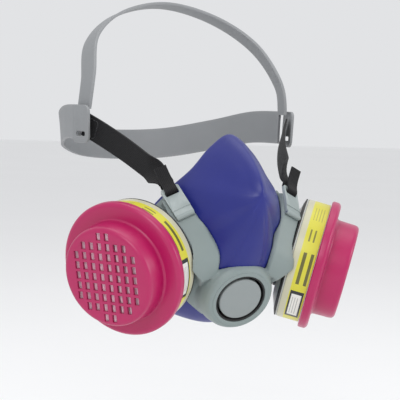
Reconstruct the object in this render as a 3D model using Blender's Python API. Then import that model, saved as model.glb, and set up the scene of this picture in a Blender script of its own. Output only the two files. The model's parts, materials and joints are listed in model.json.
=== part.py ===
"""Half-mask respirator: elastomer facepiece, plastic yoke, two combination cartridges, harness.

The frame: +Z up, -Y the way the face looks, +X the wearer's left. y = 0 is the depth of the
nose bridge. All lengths below are millimetres and become metres when a mesh is written.
"""
import math

import bpy
import numpy as np
from mathutils import Matrix, Vector

MM = 0.001

# facepiece
NOSE_TIP = Vector((0.0, -46.0, 8.0))
SEAL_CENTRE = Vector((0.0, 20.0, -18.0))
RIM_HALF = [(0.0, 1.0, 45.0), (13.0, 2.0, 36.5), (25.0, 4.0, 22.0), (38.0, 10.5, 8.0), (50.0, 23.0, -12.0),
            (56.0, 31.0, -30.0), (53.0, 35.0, -46.0), (44.0, 31.0, -62.0), (28.0, 25.0, -73.0),
            (0.0, 20.0, -80.0)]
WALL_FULLNESS = [(0.0, 1.38), (85.0, 1.27), (138.0, 1.17), (164.0, 1.46), (180.0, 1.46)]
TIP_ROUND = 0.10
WALL = 2.2
LIP_RADIUS = 3.4
LIP_REACH = 0.76
FACE_COLUMNS = 40
FACE_ROWS = 10

# cartridges
CART_YAW = math.radians(57.5)
CART_TILT = math.radians(13.5)
CART_BASE = Vector((51.1, 14.1, -35.2))
BASE_R = 40.0
BASE_H = 6.4
LABEL_R = 40.5
LABEL_H = 15.0
FLANGE_R = 43.5
FLANGE_H = 6.4
CAP_R = 32.4
CAP_H = 15.6
SLOT_PITCH = 6.4
SLOT_W = 3.2
SLOT_L = 4.5
GRILLE_R = 27.5
ROUND_SEG = 36

# ports
CONNECTOR_R = 16.0
BORE_R = 11.6
PORT_CLEAR = 0.3
NECK_R = 12.4
NECK_DEPTH = 9.0
LUG_R = 14.4
INNER_FLAP_R = 10.6
INNER_FLAP_STROKE = 1.5

# exhalation
EXH_CENTRE = Vector((0.0, -22.5, -59.0))
EXH_TILT = math.radians(25.0)
EXH_R = 24.2
EXH_WELL_R = 17.2
COVER_R = 14.4
COVER_TRAVEL = 16.0
EXH_FLAP_R = 11.6
EXH_FLAP_STROKE = 1.3

# yoke: stations of its inner and outer edge on one side, as seen from the front (x, z)
YOKE_EDGES = [((36.8, 8.0), (47.6, -8.5)), ((31.4, -4.0), (46.0, -18.0)), ((22.4, -17.0), (42.0, -33.0)),
              ((17.6, -30.0), (36.0, -47.0)), ((16.4, -42.0), (27.0, -60.0)), ((9.0, -48.0), (14.0, -70.0))]
YOKE_THICK = 2.8

# harness
BUCKLE_LENGTH = 21.0
BUCKLE_WIDTH = 12.4
# each arm's front face: inner edge and foot seen from the front, and its width; it stands clear of the cup
ARM_FACES = [((36.8, 8.0), (43.5, -2.5), 13.4), ((30.2, -4.6), (39.5, -13.5), 15.0),
             ((22.4, -17.0), (34.0, -26.5), 19.0), ((17.6, -30.0), (29.0, -40.5), 19.0),
             ((16.4, -42.0), (24.0, -55.0), 10.0)]
ARM_LIFT = 3.2
ARM_REACH = 17.0
ARM_UP = Vector((0.22, 0.68, 0.70)).normalized()
ARM_ACROSS = Vector((0.92, 0.26, -0.30))
STRAP_WIDTH = 17.0
STRAP_THICK = 1.3
BAND_THICK = 2.0
HEAD_CENTRE = Vector((0.0, 90.0, 52.0))
HEAD_RADII = Vector((72.0, 97.0, 80.0))
JUNCTION = Vector((75.5, 63.5, 48.0))
NAPE = Vector((0.0, 152.0, -50.0))

COLOURS = {
    "facepiece_elastomer": ((0.022, 0.035, 0.20), 0.42),
    "yoke_plastic": ((0.25, 0.29, 0.285), 0.45),
    "buckle_plastic": ((0.28, 0.32, 0.315), 0.45),
    "black_rubber": ((0.012, 0.012, 0.013), 0.6),
    "valve_rubber": ((0.55, 0.52, 0.45), 0.5),
    "cover_plastic": ((0.26, 0.29, 0.29), 0.5),
    "cartridge_shell": ((0.48, 0.48, 0.42), 0.4),
    "label_film": ((0.62, 0.56, 0.05), 0.4),
    "filter_magenta": ((0.42, 0.008, 0.09), 0.33),
    "filter_media": ((0.72, 0.42, 0.48), 0.9),
    "sorbent": ((0.02, 0.02, 0.02), 0.9),
    "strap_webbing": ((0.012, 0.012, 0.013), 0.85),
    "cradle_plastic": ((0.27, 0.28, 0.29), 0.5),
    "pin_steel": ((0.55, 0.56, 0.58), 0.3),
}


def material(name):
    """Return the Principled material of this name, made once."""
    found = bpy.data.materials.get(name)
    if found:
        return found
    colour, rough = COLOURS[name]
    mat = bpy.data.materials.new(name)
    mat.use_nodes = True
    bsdf = mat.node_tree.nodes["Principled BSDF"]
    bsdf.inputs["Base Color"].default_value = (*colour, 1.0)
    bsdf.inputs["Roughness"].default_value = rough
    if name == "pin_steel":
        bsdf.inputs["Metallic"].default_value = 1.0
    mat.diffuse_color = (*colour, 1.0)
    return mat


def add_object(name, verts, faces, mat, origin=Vector((0, 0, 0)), smooth=True):
    """Write one mesh object whose own origin lies at `origin` (millimetres)."""
    mesh = bpy.data.meshes.new(name)
    local = [tuple((Vector(v) - origin) * MM) for v in verts]
    mesh.from_pydata(local, [], faces)
    mesh.validate()
    if smooth:
        mesh.polygons.foreach_set("use_smooth", [True] * len(mesh.polygons))
    obj = bpy.data.objects.new(name, mesh)
    obj.location = origin * MM
    bpy.context.scene.collection.objects.link(obj)
    mesh.materials.append(material(mat))
    if smooth:
        mesh.set_sharp_from_angle(angle=math.radians(35))
    return obj


def bake(obj):
    """Apply the object's modifiers by replacing its mesh."""
    deps = bpy.context.evaluated_depsgraph_get()
    mesh = bpy.data.meshes.new_from_object(obj.evaluated_get(deps))
    old = obj.data
    obj.modifiers.clear()
    obj.data = mesh
    bpy.data.meshes.remove(old)
    mesh.name = obj.name


def cut(obj, tool, mode="DIFFERENCE"):
    """Boolean one object with another and drop the tool."""
    mod = obj.modifiers.new("cut", "BOOLEAN")
    mod.operation = mode
    mod.solver = "EXACT"
    mod.object = tool
    bake(obj)
    mesh = tool.data
    bpy.data.objects.remove(tool)
    bpy.data.meshes.remove(mesh)


def frame_of(origin, normal, up=Vector((0, 0, 1))):
    """Matrix whose columns are across, up and outward at `origin`."""
    n = normal.normalized()
    across = up.cross(n).normalized()
    rise = n.cross(across)
    mat = Matrix((across, rise, n)).transposed().to_4x4()
    mat.translation = origin
    return mat


def cart_axis(side):
    """Outward direction of the cartridge on this side (+1 wearer's left)."""
    return Vector((side * math.sin(CART_YAW) * math.cos(CART_TILT),
                   -math.cos(CART_YAW) * math.cos(CART_TILT),
                   -math.sin(CART_TILT)))


def cart_base(side):
    """Centre of the cartridge's inner face."""
    return Vector((side * CART_BASE.x, CART_BASE.y, CART_BASE.z))


def exh_axis():
    """Outward direction of the exhalation valve."""
    return Vector((0, -math.cos(EXH_TILT), -math.sin(EXH_TILT)))


def lathe(profile, frame, seg=ROUND_SEG):
    """Revolve a closed (r, h) outline; where it meets the axis a flat disc closes it."""
    verts, rings, faces = [], [], []
    for r, h in profile:
        if r < 1e-6:
            rings.append(None)
            continue
        rings.append(list(range(len(verts), len(verts) + seg)))
        for i in range(seg):
            a = 2 * math.pi * i / seg
            verts.append(frame @ Vector((r * math.cos(a), r * math.sin(a), h)))
    for k, one in enumerate(rings):
        two = rings[(k + 1) % len(rings)]
        if one is None and two is None:
            continue
        if one is None or two is None:
            faces.append(tuple(one or two))
            continue
        for i in range(seg):
            j = (i + 1) % seg
            faces.append((one[i], one[j], two[j], two[i]))
    return verts, faces


def boxes(parts, frame):
    """Vertices and faces of separate boxes ((cx, cy, cz), (sx, sy, sz))."""
    verts, faces = [], []
    for centre, size in parts:
        k = len(verts)
        for dz in (-0.5, 0.5):
            for dx, dy in ((-0.5, -0.5), (0.5, -0.5), (0.5, 0.5), (-0.5, 0.5)):
                verts.append(frame @ Vector((centre[0] + dx * size[0], centre[1] + dy * size[1],
                                             centre[2] + dz * size[2])))
        faces += [(k, k + 3, k + 2, k + 1), (k + 4, k + 5, k + 6, k + 7)]
        for i in range(4):
            j = (i + 1) % 4
            faces.append((k + i, k + j, k + 4 + j, k + 4 + i))
    return verts, faces


def catmull(points, per, closed=False):
    """Catmull-Rom samples through the points, `per` steps each span."""
    pts = [np.array(p, dtype=float) for p in points]
    n = len(pts)
    out = []
    for i in range(n if closed else n - 1):
        if closed:
            a, b, c, d = (pts[(i + k) % n] for k in (-1, 0, 1, 2))
        else:
            a, b, c, d = pts[max(i - 1, 0)], pts[i], pts[i + 1], pts[min(i + 2, n - 1)]
        for s in range(per):
            t = s / per
            out.append(0.5 * (2 * b + (c - a) * t + (2 * a - 5 * b + 4 * c - d) * t ** 2
                              + (3 * b - a - 3 * c + d) * t ** 3))
    if not closed:
        out.append(pts[-1])
    return np.array(out)


def rim_loop(count):
    """Seal rim as `count` points evenly spaced along its length, from the nose round +X."""
    mirrored = [(-x, y, z) for x, y, z in RIM_HALF[-2:0:-1]]
    dense = catmull(RIM_HALF + mirrored, 24, closed=True)
    dense = np.vstack([dense, dense[:1]])
    step = np.linalg.norm(np.diff(dense, axis=0), axis=1)
    along = np.concatenate([[0], np.cumsum(step)])
    want = np.arange(count) * along[-1] / count
    return np.stack([np.interp(want, along, dense[:, k]) for k in range(3)], axis=1)


RIM_DENSE = rim_loop(720)
RIM_ANGLE = np.arctan2(RIM_DENSE[:, 0], RIM_DENSE[:, 2] - NOSE_TIP.z)


def fullness(rim):
    """How far the wall bulges, 1 for a straight cone, on the column to this rim point."""
    turn = abs(math.degrees(math.atan2(rim[0], rim[2] - NOSE_TIP.z)))
    for (a, pa), (b, pb) in zip(WALL_FULLNESS, WALL_FULLNESS[1:]):
        if turn <= b:
            s = (turn - a) / (b - a)
            return pa + (pb - pa) * s * s * (3 - 2 * s)
    return WALL_FULLNESS[-1][1]


def wall_fraction(t, power):
    """Share of the way from rim to nose tip at radial share t (0 tip, 1 rim)."""
    soft = math.sqrt(t * t + TIP_ROUND ** 2 * (1 - t) ** 2)
    return max(0.0, 1 - min(soft, 1.0) ** power) ** (1 / power)


def wall_point(rim, t):
    """Outer wall point on the column through this rim point."""
    power = fullness(rim)
    share = wall_fraction(t, power) / wall_fraction(0.0, power)
    return Vector((rim[0] * t, rim[1] + (NOSE_TIP.y - rim[1]) * share, NOSE_TIP.z + (rim[2] - NOSE_TIP.z) * t))


def wall_at(x, z):
    """Outer wall point above this front-view position."""
    angle = math.atan2(x, z - NOSE_TIP.z)
    order = np.argsort(RIM_ANGLE)
    rim = [float(np.interp(angle, RIM_ANGLE[order], RIM_DENSE[order, k], period=2 * math.pi)) for k in range(3)]
    reach = math.hypot(rim[0], rim[2] - NOSE_TIP.z)
    t = min(math.hypot(x, z - NOSE_TIP.z) / reach, 1.0)
    return wall_point(rim, t) if t < 1 else Vector((x, rim[1], z))


def wall_normal(x, z):
    """Outward normal of the wall above this front-view position."""
    d = 0.6
    a = wall_at(x + d, z) - wall_at(x - d, z)
    b = wall_at(x, z + d) - wall_at(x, z - d)
    n = a.cross(b).normalized()
    return n if n.y < 0 else -n


def face_sheet(columns, rows, lip=True):
    """Open sheet of the facepiece: nose tip, wall, rolled rim and inward seal flange."""
    rim = rim_loop(columns)
    verts = [wall_point(rim[0], 0.0)]
    rings = []
    shares = [math.sin(0.5 * math.pi * (i + 1) / rows) ** 1.15 for i in range(rows)]
    for t in shares:
        rings.append([wall_point(p, t) for p in rim])
    if lip:
        for phi in (50, 100, 150):
            a = math.radians(phi)
            ring = []
            for p in rim:
                out = Vector((p[0] - SEAL_CENTRE.x, 0, p[2] - SEAL_CENTRE.z)).normalized()
                ring.append(Vector(p) - out * LIP_RADIUS * (1 - math.cos(a))
                            + Vector((0, LIP_RADIUS * math.sin(a), 0)))
            rings.append(ring)
        for share, back in ((0.5, -0.5), (1.0, -2.4)):
            ring = []
            for p, q in zip(rim, rings[rows + 2]):
                end = Vector((SEAL_CENTRE.x + (p[0] - SEAL_CENTRE.x) * LIP_REACH, p[1] + back,
                              SEAL_CENTRE.z + (p[2] - SEAL_CENTRE.z) * LIP_REACH))
                ring.append(q.lerp(end, share))
            rings.append(ring)
    for ring in rings:
        verts += ring
    faces = []
    for j in range(columns):
        faces.append((0, 1 + (j + 1) % columns, 1 + j))
    for k in range(len(rings) - 1):
        a = 1 + k * columns
        b = a + columns
        for j in range(columns):
            i = (j + 1) % columns
            faces.append((a + j, a + i, b + i, b + j))
    return verts, faces


def face_block(grow):
    """Closed block filling the facepiece's outside, grown outward, for cutting neighbours."""
    rows = FACE_ROWS
    verts, faces = face_sheet(FACE_COLUMNS, rows, lip=False)
    centre = sum(verts, Vector()) / len(verts)
    centre.y = 30
    moved = []
    for v in verts:
        if v.y < 60:
            n = wall_normal(v.x * 0.985, NOSE_TIP.z + (v.z - NOSE_TIP.z) * 0.985)
            moved.append(v + n * grow)
    base = 1 + (rows - 1) * FACE_COLUMNS
    back = []
    for j in range(FACE_COLUMNS):
        v = moved[base + j]
        back.append(Vector((v.x, 48.0, v.z)))
    k = len(moved)
    moved += back
    for j in range(FACE_COLUMNS):
        i = (j + 1) % FACE_COLUMNS
        faces.append((base + j, base + i, k + i, k + j))
    faces.append(tuple(k + j for j in range(FACE_COLUMNS)))
    return moved, faces


def temp(name, shape):
    """A cutter made from (verts, faces)."""
    obj = add_object(name, shape[0], shape[1], "black_rubber", smooth=False)
    fix_normals(obj, True)
    obj.hide_render = True
    obj.display_type = "WIRE"
    return obj


def fix_normals(obj, split=False):
    """Turn a closed mesh's faces outward; `split` makes them flat triangles first."""
    import bmesh
    bm = bmesh.new()
    bm.from_mesh(obj.data)
    bmesh.ops.remove_doubles(bm, verts=bm.verts, dist=1e-7)
    if split:
        bmesh.ops.triangulate(bm, faces=bm.faces)
    bmesh.ops.recalc_face_normals(bm, faces=bm.faces)
    if bm.calc_volume(signed=True) < 0:
        bmesh.ops.reverse_faces(bm, faces=bm.faces)
    bm.to_mesh(obj.data)
    bm.free()


def tidy(obj):
    """Merge near-coincident vertices left by booleans and keep faces outward."""
    import bmesh
    bm = bmesh.new()
    bm.from_mesh(obj.data)
    bmesh.ops.remove_doubles(bm, verts=bm.verts, dist=2e-5)
    bmesh.ops.dissolve_degenerate(bm, edges=bm.edges, dist=1e-5)
    bmesh.ops.recalc_face_normals(bm, faces=bm.faces)
    bm.to_mesh(obj.data)
    bm.free()
    obj.data.polygons.foreach_set("use_smooth", [True] * len(obj.data.polygons))
    obj.data.set_sharp_from_angle(angle=math.radians(35))


def cylinder(frame, radius, low, high, seg=ROUND_SEG):
    """A closed cylinder along the frame's outward axis."""
    return lathe([(0, low), (radius, low), (radius, high), (0, high)], frame, seg)


def make_facepiece():
    """Elastomer cup with rolled seal flange and three ports."""
    verts, faces = face_sheet(FACE_COLUMNS, FACE_ROWS)
    obj = add_object("facepiece", verts, faces, "facepiece_elastomer")
    mod = obj.modifiers.new("wall", "SOLIDIFY")
    mod.thickness = WALL * MM
    mod.offset = -1.0
    bake(obj)
    fix_normals(obj, True)
    for side in (1, -1):
        frame = frame_of(cart_base(side), cart_axis(side))
        cut(obj, temp("port_tool", cylinder(frame, CONNECTOR_R + PORT_CLEAR, -24, 12)))
    frame = frame_of(EXH_CENTRE, exh_axis())
    cut(obj, temp("port_tool", cylinder(frame, EXH_WELL_R + PORT_CLEAR, -24, 12)))
    tidy(obj)
    return obj


def yoke_strip(side_points=5):
    """Thick U-shaped strip following the facepiece, later trimmed on its inner side."""
    inner = catmull([a for a, _ in YOKE_EDGES], 2)
    outer = catmull([b for _, b in YOKE_EDGES], 2)
    centre_in, centre_out = (0.0, -50.0), (0.0, -73.0)
    left = [((-a[0], a[1]), (-b[0], b[1])) for a, b in zip(inner, outer)]
    right = [((a[0], a[1]), (b[0], b[1])) for a, b in zip(inner, outer)]
    stations = right + [(centre_in, centre_out)] + left[::-1]
    verts, faces = [], []
    across = side_points
    for a, b in stations:
        for k in range(across):
            s = k / (across - 1)
            x, z = a[0] + (b[0] - a[0]) * s, a[1] + (b[1] - a[1]) * s
            p, n = wall_at(x, z), wall_normal(x, z)
            lift = YOKE_THICK * (0.8 if k in (0, across - 1) else 1.0)
            verts.append(p + n * lift)
        for k in range(across):
            s = k / (across - 1)
            x, z = a[0] + (b[0] - a[0]) * s, a[1] + (b[1] - a[1]) * s
            p, n = wall_at(x, z), wall_normal(x, z)
            verts.append(p - n * 1.5)
    m = 2 * across
    for i in range(len(stations) - 1):
        a, b = i * m, (i + 1) * m
        for k in range(across - 1):
            faces.append((a + k, a + k + 1, b + k + 1, b + k))
            faces.append((a + across + k, b + across + k, b + across + k + 1, a + across + k + 1))
        faces.append((a, b, b + across, a + across))
        faces.append((a + across - 1, a + m - 1, b + m - 1, b + across - 1))
    for a in (0, (len(stations) - 1) * m):
        faces.append(tuple(a + k for k in range(across)) + tuple(a + m - 1 - k for k in range(across)))
    return verts, faces


def arm_axes():
    """Directions of an arm's front face on the left side: across, up and outward."""
    across = (ARM_ACROSS - ARM_UP * ARM_ACROSS.dot(ARM_UP)).normalized()
    return across, ARM_UP, across.cross(ARM_UP).normalized()


def arm_block(side):
    """Closed block under an arm's front face: it keeps facing forward while the cup's wall turns away."""
    across, up, _ = arm_axes()
    rails = [[], [], [], []]
    for (x, z), (fx, fz), width in ARM_FACES:
        top = wall_at(x, z) + wall_normal(x, z) * ARM_LIFT
        rails[0].append(top)
        rails[1].append(top + across * width)
        rails[2].append(wall_at(fx, fz) - wall_normal(fx, fz) * 1.5)
        rails[3].append(wall_at(x, z) - wall_normal(x, z) * 1.5)
    rails[0][0] = rails[0][1] + up * ARM_REACH
    rails[1][0] = rails[0][0] + across * ARM_FACES[0][2]
    lines = [[Vector(p) for p in catmull([tuple(p) for p in rail], 2)] for rail in rails]
    verts = [Vector((p.x * side, p.y, p.z)) for ring in zip(*lines) for p in ring]
    count = len(lines[0])
    faces = [(0, 1, 2, 3), tuple(4 * (count - 1) + k for k in (3, 2, 1, 0))]
    for i in range(count - 1):
        for k in range(4):
            j = (k + 1) % 4
            faces.append((4 * i + k, 4 * i + 4 + k, 4 * i + 4 + j, 4 * i + j))
    return verts, faces


def make_yoke():
    """Plastic yoke: arms, exhalation housing and a boss round each inhalation port."""
    verts, faces = yoke_strip()
    obj = add_object("yoke", verts, faces, "yoke_plastic")
    fix_normals(obj, True)
    for side in (1, -1):
        cut(obj, temp("arm_tool", arm_block(side)), "UNION")
        room = [(0, -2.1), (22.0, -2.1), (27.2, -0.5), (40.8, 4.3), (41.2, 6.0), (41.2, 20.5), (44.4, 20.5),
                (44.4, 60), (0, 60)]
        cut(obj, temp("room_tool", lathe(room, frame_of(cart_base(side), cart_axis(side)))))
    frame = frame_of(EXH_CENTRE, exh_axis())
    housing = [(0, -24), (EXH_R + 1.6, -24), (EXH_R + 0.6, -9), (EXH_R - 1.2, -2.4), (EXH_R - 3.4, 0.0), (0, 0.0)]
    cut(obj, temp("housing_tool", lathe(housing, frame)), "UNION")
    for side in (1, -1):
        port = frame_of(cart_base(side), cart_axis(side))
        boss = [(0, -18), (18.6, -18), (18.6, -6.0), (21.5, -4.6), (21.5, -2.2), (0, -2.2)]
        cut(obj, temp("boss_tool", lathe(boss, port)), "UNION")
    cut(obj, temp("inside_tool", face_block(0.35)))
    cut(obj, temp("well_tool", cylinder(frame, EXH_WELL_R, -40, 12)))
    for side in (1, -1):
        port = frame_of(cart_base(side), cart_axis(side))
        cut(obj, temp("bore_tool", cylinder(port, CONNECTOR_R + PORT_CLEAR, -40, 12)))
    tidy(obj)
    keep_largest(obj)
    return obj


def keep_largest(obj):
    """Drop loose crumbs that trimming leaves behind."""
    import bmesh
    bm = bmesh.new()
    bm.from_mesh(obj.data)
    bm.verts.ensure_lookup_table()
    seen, groups = set(), []
    for start in bm.verts:
        if start in seen:
            continue
        stack, group = [start], []
        seen.add(start)
        while stack:
            v = stack.pop()
            group.append(v)
            for e in v.link_edges:
                w = e.other_vert(v)
                if w not in seen:
                    seen.add(w)
                    stack.append(w)
        groups.append(group)
    groups.sort(key=len)
    loose = [v for g in groups[:-1] for v in g]
    if loose:
        bmesh.ops.delete(bm, geom=loose, context="VERTS")
    bm.to_mesh(obj.data)
    bm.free()


def make_connector(side, word):
    """Bayonet socket ring with its valve seat and spokes."""
    frame = frame_of(cart_base(side), cart_axis(side))
    profile = [(BORE_R - 1.4, -13.0), (CONNECTOR_R, -13.0), (CONNECTOR_R, -2.3), (CONNECTOR_R - 1.0, -2.3),
               (CONNECTOR_R - 1.0, -6.6), (NECK_R + 0.4, -6.6), (NECK_R + 0.4, -11.4), (BORE_R - 1.4, -11.4)]
    verts, faces = lathe(profile, frame)
    obj = add_object("inhalation_connector_" + word, verts, faces, "yoke_plastic")
    fix_normals(obj)
    reach = 2 * BORE_R - 1.0
    for turn in (0, math.pi / 2):
        spoke = frame @ Matrix.Rotation(turn, 4, "Z")
        cut(obj, temp("spoke_tool", boxes([((0, 0, -12.2), (reach, 1.6, 1.3))], spoke)), "UNION")
    tidy(obj)
    return obj


def make_inhalation_flap(side, word):
    """Thin rubber disc on the inner side of the seat."""
    frame = frame_of(cart_base(side), cart_axis(side))
    origin = frame @ Vector((0, 0, -13.5))
    verts, faces = lathe([(0, -13.9), (INNER_FLAP_R, -13.9), (INNER_FLAP_R, -13.1), (0, -13.1)], frame, 24)
    obj = add_object("inhalation_flap_" + word, verts, faces, "valve_rubber", origin)
    fix_normals(obj)
    return obj


def make_gasket(side, word):
    """Flat sealing ring under the cartridge."""
    frame = frame_of(cart_base(side), cart_axis(side))
    verts, faces = lathe([(17.0, -1.9), (21.5, -1.9), (21.5, -0.3), (17.0, -0.3)], frame)
    obj = add_object("cartridge_gasket_" + word, verts, faces, "black_rubber", cart_base(side))
    fix_normals(obj)
    return obj


def make_cartridge(side, word):
    """Cartridge shell, label band, sorbent bed, particulate filter and slotted cap."""
    frame = frame_of(cart_base(side), cart_axis(side))
    base = cart_base(side)
    top = BASE_H + LABEL_H
    shell = [(NECK_R - 1.8, -NECK_DEPTH), (NECK_R, -NECK_DEPTH), (NECK_R, 0.0), (BASE_R - 13.0, 0.0), (BASE_R, 4.8),
             (BASE_R, BASE_H), (BASE_R - 0.4, BASE_H), (BASE_R - 0.4, top), (BASE_R - 2.2, top),
             (BASE_R - 2.2, 6.0), (BASE_R - 13.0, 2.0),
             (NECK_R - 1.8, 2.0)]
    verts, faces = lathe(shell, frame)
    obj = add_object("cartridge_shell_" + word, verts, faces, "cartridge_shell", base)
    fix_normals(obj)
    for k in range(3):
        spin = frame @ Matrix.Rotation(2 * math.pi * k / 3, 4, "Z")
        lug = boxes([((0.5 * (NECK_R - 0.6 + LUG_R), 0, -4.6), (LUG_R - NECK_R + 0.6, 6.0, 1.5))], spin)
        cut(obj, temp("lug_tool", lug), "UNION")
    tidy(obj)
    band = [(BASE_R - 0.3, BASE_H + 0.1), (LABEL_R, BASE_H + 0.1), (LABEL_R, top - 0.1), (BASE_R - 0.3, top - 0.1)]
    verts, faces = lathe(band, frame)
    fix_normals(add_object("label_band_" + word, verts, faces, "label_film", base))
    bed = [(0, 6.4), (BASE_R - 2.5, 6.4), (BASE_R - 2.5, top - 1.0), (0, top - 1.0)]
    verts, faces = lathe(bed, frame, 24)
    fix_normals(add_object("sorbent_bed_" + word, verts, faces, "sorbent", base))
    low = top + 0.2
    pad = [(0, low + 1.0), (CAP_R - 2.6, low + 1.0), (CAP_R - 2.6, low + FLANGE_H + CAP_H - 3.2),
           (0, low + FLANGE_H + CAP_H - 3.2)]
    verts, faces = lathe(pad, frame, 24)
    fix_normals(add_object("particulate_filter_" + word, verts, faces, "filter_media", base))
    make_cap(word, frame, base, low)


def make_cap(word, frame, base, low):
    """Magenta filter cap with its grille of slots."""
    high = low + FLANGE_H
    front = high + CAP_H
    profile = [(FLANGE_R - 1.0, low), (FLANGE_R, low + 1.2), (FLANGE_R, high - 2.0), (FLANGE_R - 2.0, high),
               (CAP_R + 0.8, high), (CAP_R, high + 1.0), (CAP_R - 0.3, front - 3.4), (CAP_R - 1.3, front - 1.2),
               (CAP_R - 3.6, front), (0, front), (CAP_R - 2.4, front - 2.4),
               (CAP_R - 2.4, low)]
    verts, faces = lathe(profile, frame)
    obj = add_object("filter_cap_" + word, verts, faces, "filter_magenta", base)
    fix_normals(obj)
    slots = []
    for i in range(8):
        for j in range(8):
            x, y = (i - 3.5) * SLOT_PITCH, (j - 3.5) * SLOT_PITCH
            if math.hypot(x, y) < GRILLE_R:
                slots.append(((x, y, front - 1.2), (SLOT_W, SLOT_L, 5.0)))
    cut(obj, temp("slot_tool", boxes(slots, frame)))
    tidy(obj)
    return obj


def make_exhalation():
    """Valve seat, flap and the push-on cover."""
    frame = frame_of(EXH_CENTRE, exh_axis())
    r = EXH_WELL_R - 0.1
    profile = [(EXH_FLAP_R - 1.4, -12.2), (r, -12.2), (r, -0.7), (r - 0.9, -0.7), (r - 0.9, -9.4),
               (EXH_FLAP_R - 1.4, -9.4)]
    verts, faces = lathe(profile, frame)
    seat = add_object("exhalation_valve_seat", verts, faces, "black_rubber")
    fix_normals(seat)
    for turn in (0, math.pi / 2):
        spoke = frame @ Matrix.Rotation(turn, 4, "Z")
        bar = boxes([((0, 0, -10.9), (2 * EXH_FLAP_R - 1.0, 1.6, 1.8))], spoke)
        cut(seat, temp("spoke_tool", bar), "UNION")
    tidy(seat)
    origin = frame @ Vector((0, 0, -8.8))
    verts, faces = lathe([(0, -9.2), (EXH_FLAP_R, -9.2), (EXH_FLAP_R, -8.4), (0, -8.4)], frame, 28)
    fix_normals(add_object("exhalation_flap", verts, faces, "valve_rubber", origin))
    disc = [(0, -3.0), (COVER_R, -3.0), (COVER_R, -0.8), (COVER_R - 0.8, 0.0), (0, 0.0)]
    verts, faces = lathe(disc, frame)
    cover = add_object("exhalation_cover", verts, faces, "cover_plastic", frame @ Vector((0, 0, -1.5)))
    fix_normals(cover)
    for k in range(3):
        spin = frame @ Matrix.Rotation(2 * math.pi * k / 3 + math.pi / 6, 4, "Z")
        peg = boxes([((EXH_FLAP_R + 1.7, 0, -5.8), (2.0, 3.4, 6.6))], spin)
        cut(cover, temp("peg_tool", peg), "UNION")
    tidy(cover)


def buckle_frame(side):
    """Frame on the arm's front face: across the arm, up the arm, outward; origin at the pivot."""
    across, up, n = arm_axes()
    (x, z), _, _ = ARM_FACES[1]
    corner = wall_at(x, z) + wall_normal(x, z) * ARM_LIFT
    mat = Matrix((across, up, n)).transposed().to_4x4()
    mat.translation = corner + across * (BUCKLE_WIDTH / 2 - 0.5) + n * 1.5
    if side > 0:
        return mat
    flip = Matrix.Diagonal((-1, 1, 1, 1))
    return flip @ mat


def make_buckle(side, word):
    """Raised strap buckle on the arm's top, its pivot pin and the ears that hold it."""
    frame = buckle_frame(side)
    origin = frame.translation.copy()
    w, length = BUCKLE_WIDTH, BUCKLE_LENGTH
    plate = boxes([((0, length * 0.5, 0.45), (w, length + 2.6, 2.1))], frame)
    obj = add_object("strap_buckle_" + word, plate[0], plate[1], "buckle_plastic", origin, smooth=False)
    fix_normals(obj)
    slot = boxes([((0, length - 3.2, 0), (w - 3.4, 3.4, 8))], frame)
    cut(obj, temp("slot_tool", slot))
    turn = frame @ Matrix.Rotation(math.pi / 2, 4, "Y")
    cut(obj, temp("eye_tool", cylinder(turn, 0.78, -30, 30, 16)))
    tidy(obj)
    pin = cylinder(turn, 0.72, -w / 2 + 0.1, w / 2 - 0.1, 16)
    fix_normals(add_object("buckle_pin_" + word, pin[0], pin[1], "pin_steel"))


def ribbon(path, widths, thick, across):
    """Closed flat band along a path; `across` gives the width direction at each point."""
    verts, faces = [], []
    count = len(path)
    for i, p in enumerate(path):
        tangent = (path[min(i + 1, count - 1)] - path[max(i - 1, 0)]).normalized()
        side = (across[i] - tangent * across[i].dot(tangent)).normalized()
        n = tangent.cross(side).normalized()
        for a, b in ((-1, -1), (1, -1), (1, 1), (-1, 1)):
            verts.append(p + side * (a * widths[i] / 2) + n * (b * thick / 2))
    for i in range(count - 1):
        k = 4 * i
        for j in range(4):
            h = (j + 1) % 4
            faces.append((k + j, k + h, k + 4 + h, k + 4 + j))
    faces.append((3, 2, 1, 0))
    k = 4 * (count - 1)
    faces.append((k, k + 1, k + 2, k + 3))
    return verts, faces


def head_normal(p):
    """Outward normal of the head's ellipsoid at this point."""
    d = p - HEAD_CENTRE
    return Vector((d.x / HEAD_RADII.x ** 2, d.y / HEAD_RADII.y ** 2, d.z / HEAD_RADII.z ** 2)).normalized()


def on_head(p, lift=1.5):
    """Nearest point a little above the head's ellipsoid, straight from its centre."""
    d = p - HEAD_CENTRE
    size = math.sqrt((d.x / HEAD_RADII.x) ** 2 + (d.y / HEAD_RADII.y) ** 2 + (d.z / HEAD_RADII.z) ** 2)
    return HEAD_CENTRE + d / size + head_normal(p) * lift


def mirror(point, side):
    """The point on this side."""
    return Vector((point.x * side, point.y, point.z))


def strap_path(side, count=12):
    """Upper strap from the buckle's bar to the cradle's side plate."""
    frame = buckle_frame(side)
    start = frame @ Vector((0, BUCKLE_LENGTH + 8.4, 0.6))
    end = mirror(JUNCTION, side)
    mid = on_head(start.lerp(end, 0.5), 1.0)
    near = start.lerp(end, 0.25) + (mid - start.lerp(end, 0.5)) * 0.65
    far = start.lerp(end, 0.78) + (mid - start.lerp(end, 0.5)) * 0.72
    pts = catmull([tuple(start), tuple(near), tuple(mid), tuple(far), tuple(end)], count // 4)
    return [Vector(p) for p in pts]


def band_across(path, side):
    """Width direction of a band lying on the head."""
    out = []
    for i, p in enumerate(path):
        tangent = (path[min(i + 1, len(path) - 1)] - path[max(i - 1, 0)]).normalized()
        out.append(head_normal(p).cross(tangent).normalized())
    return out


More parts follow.
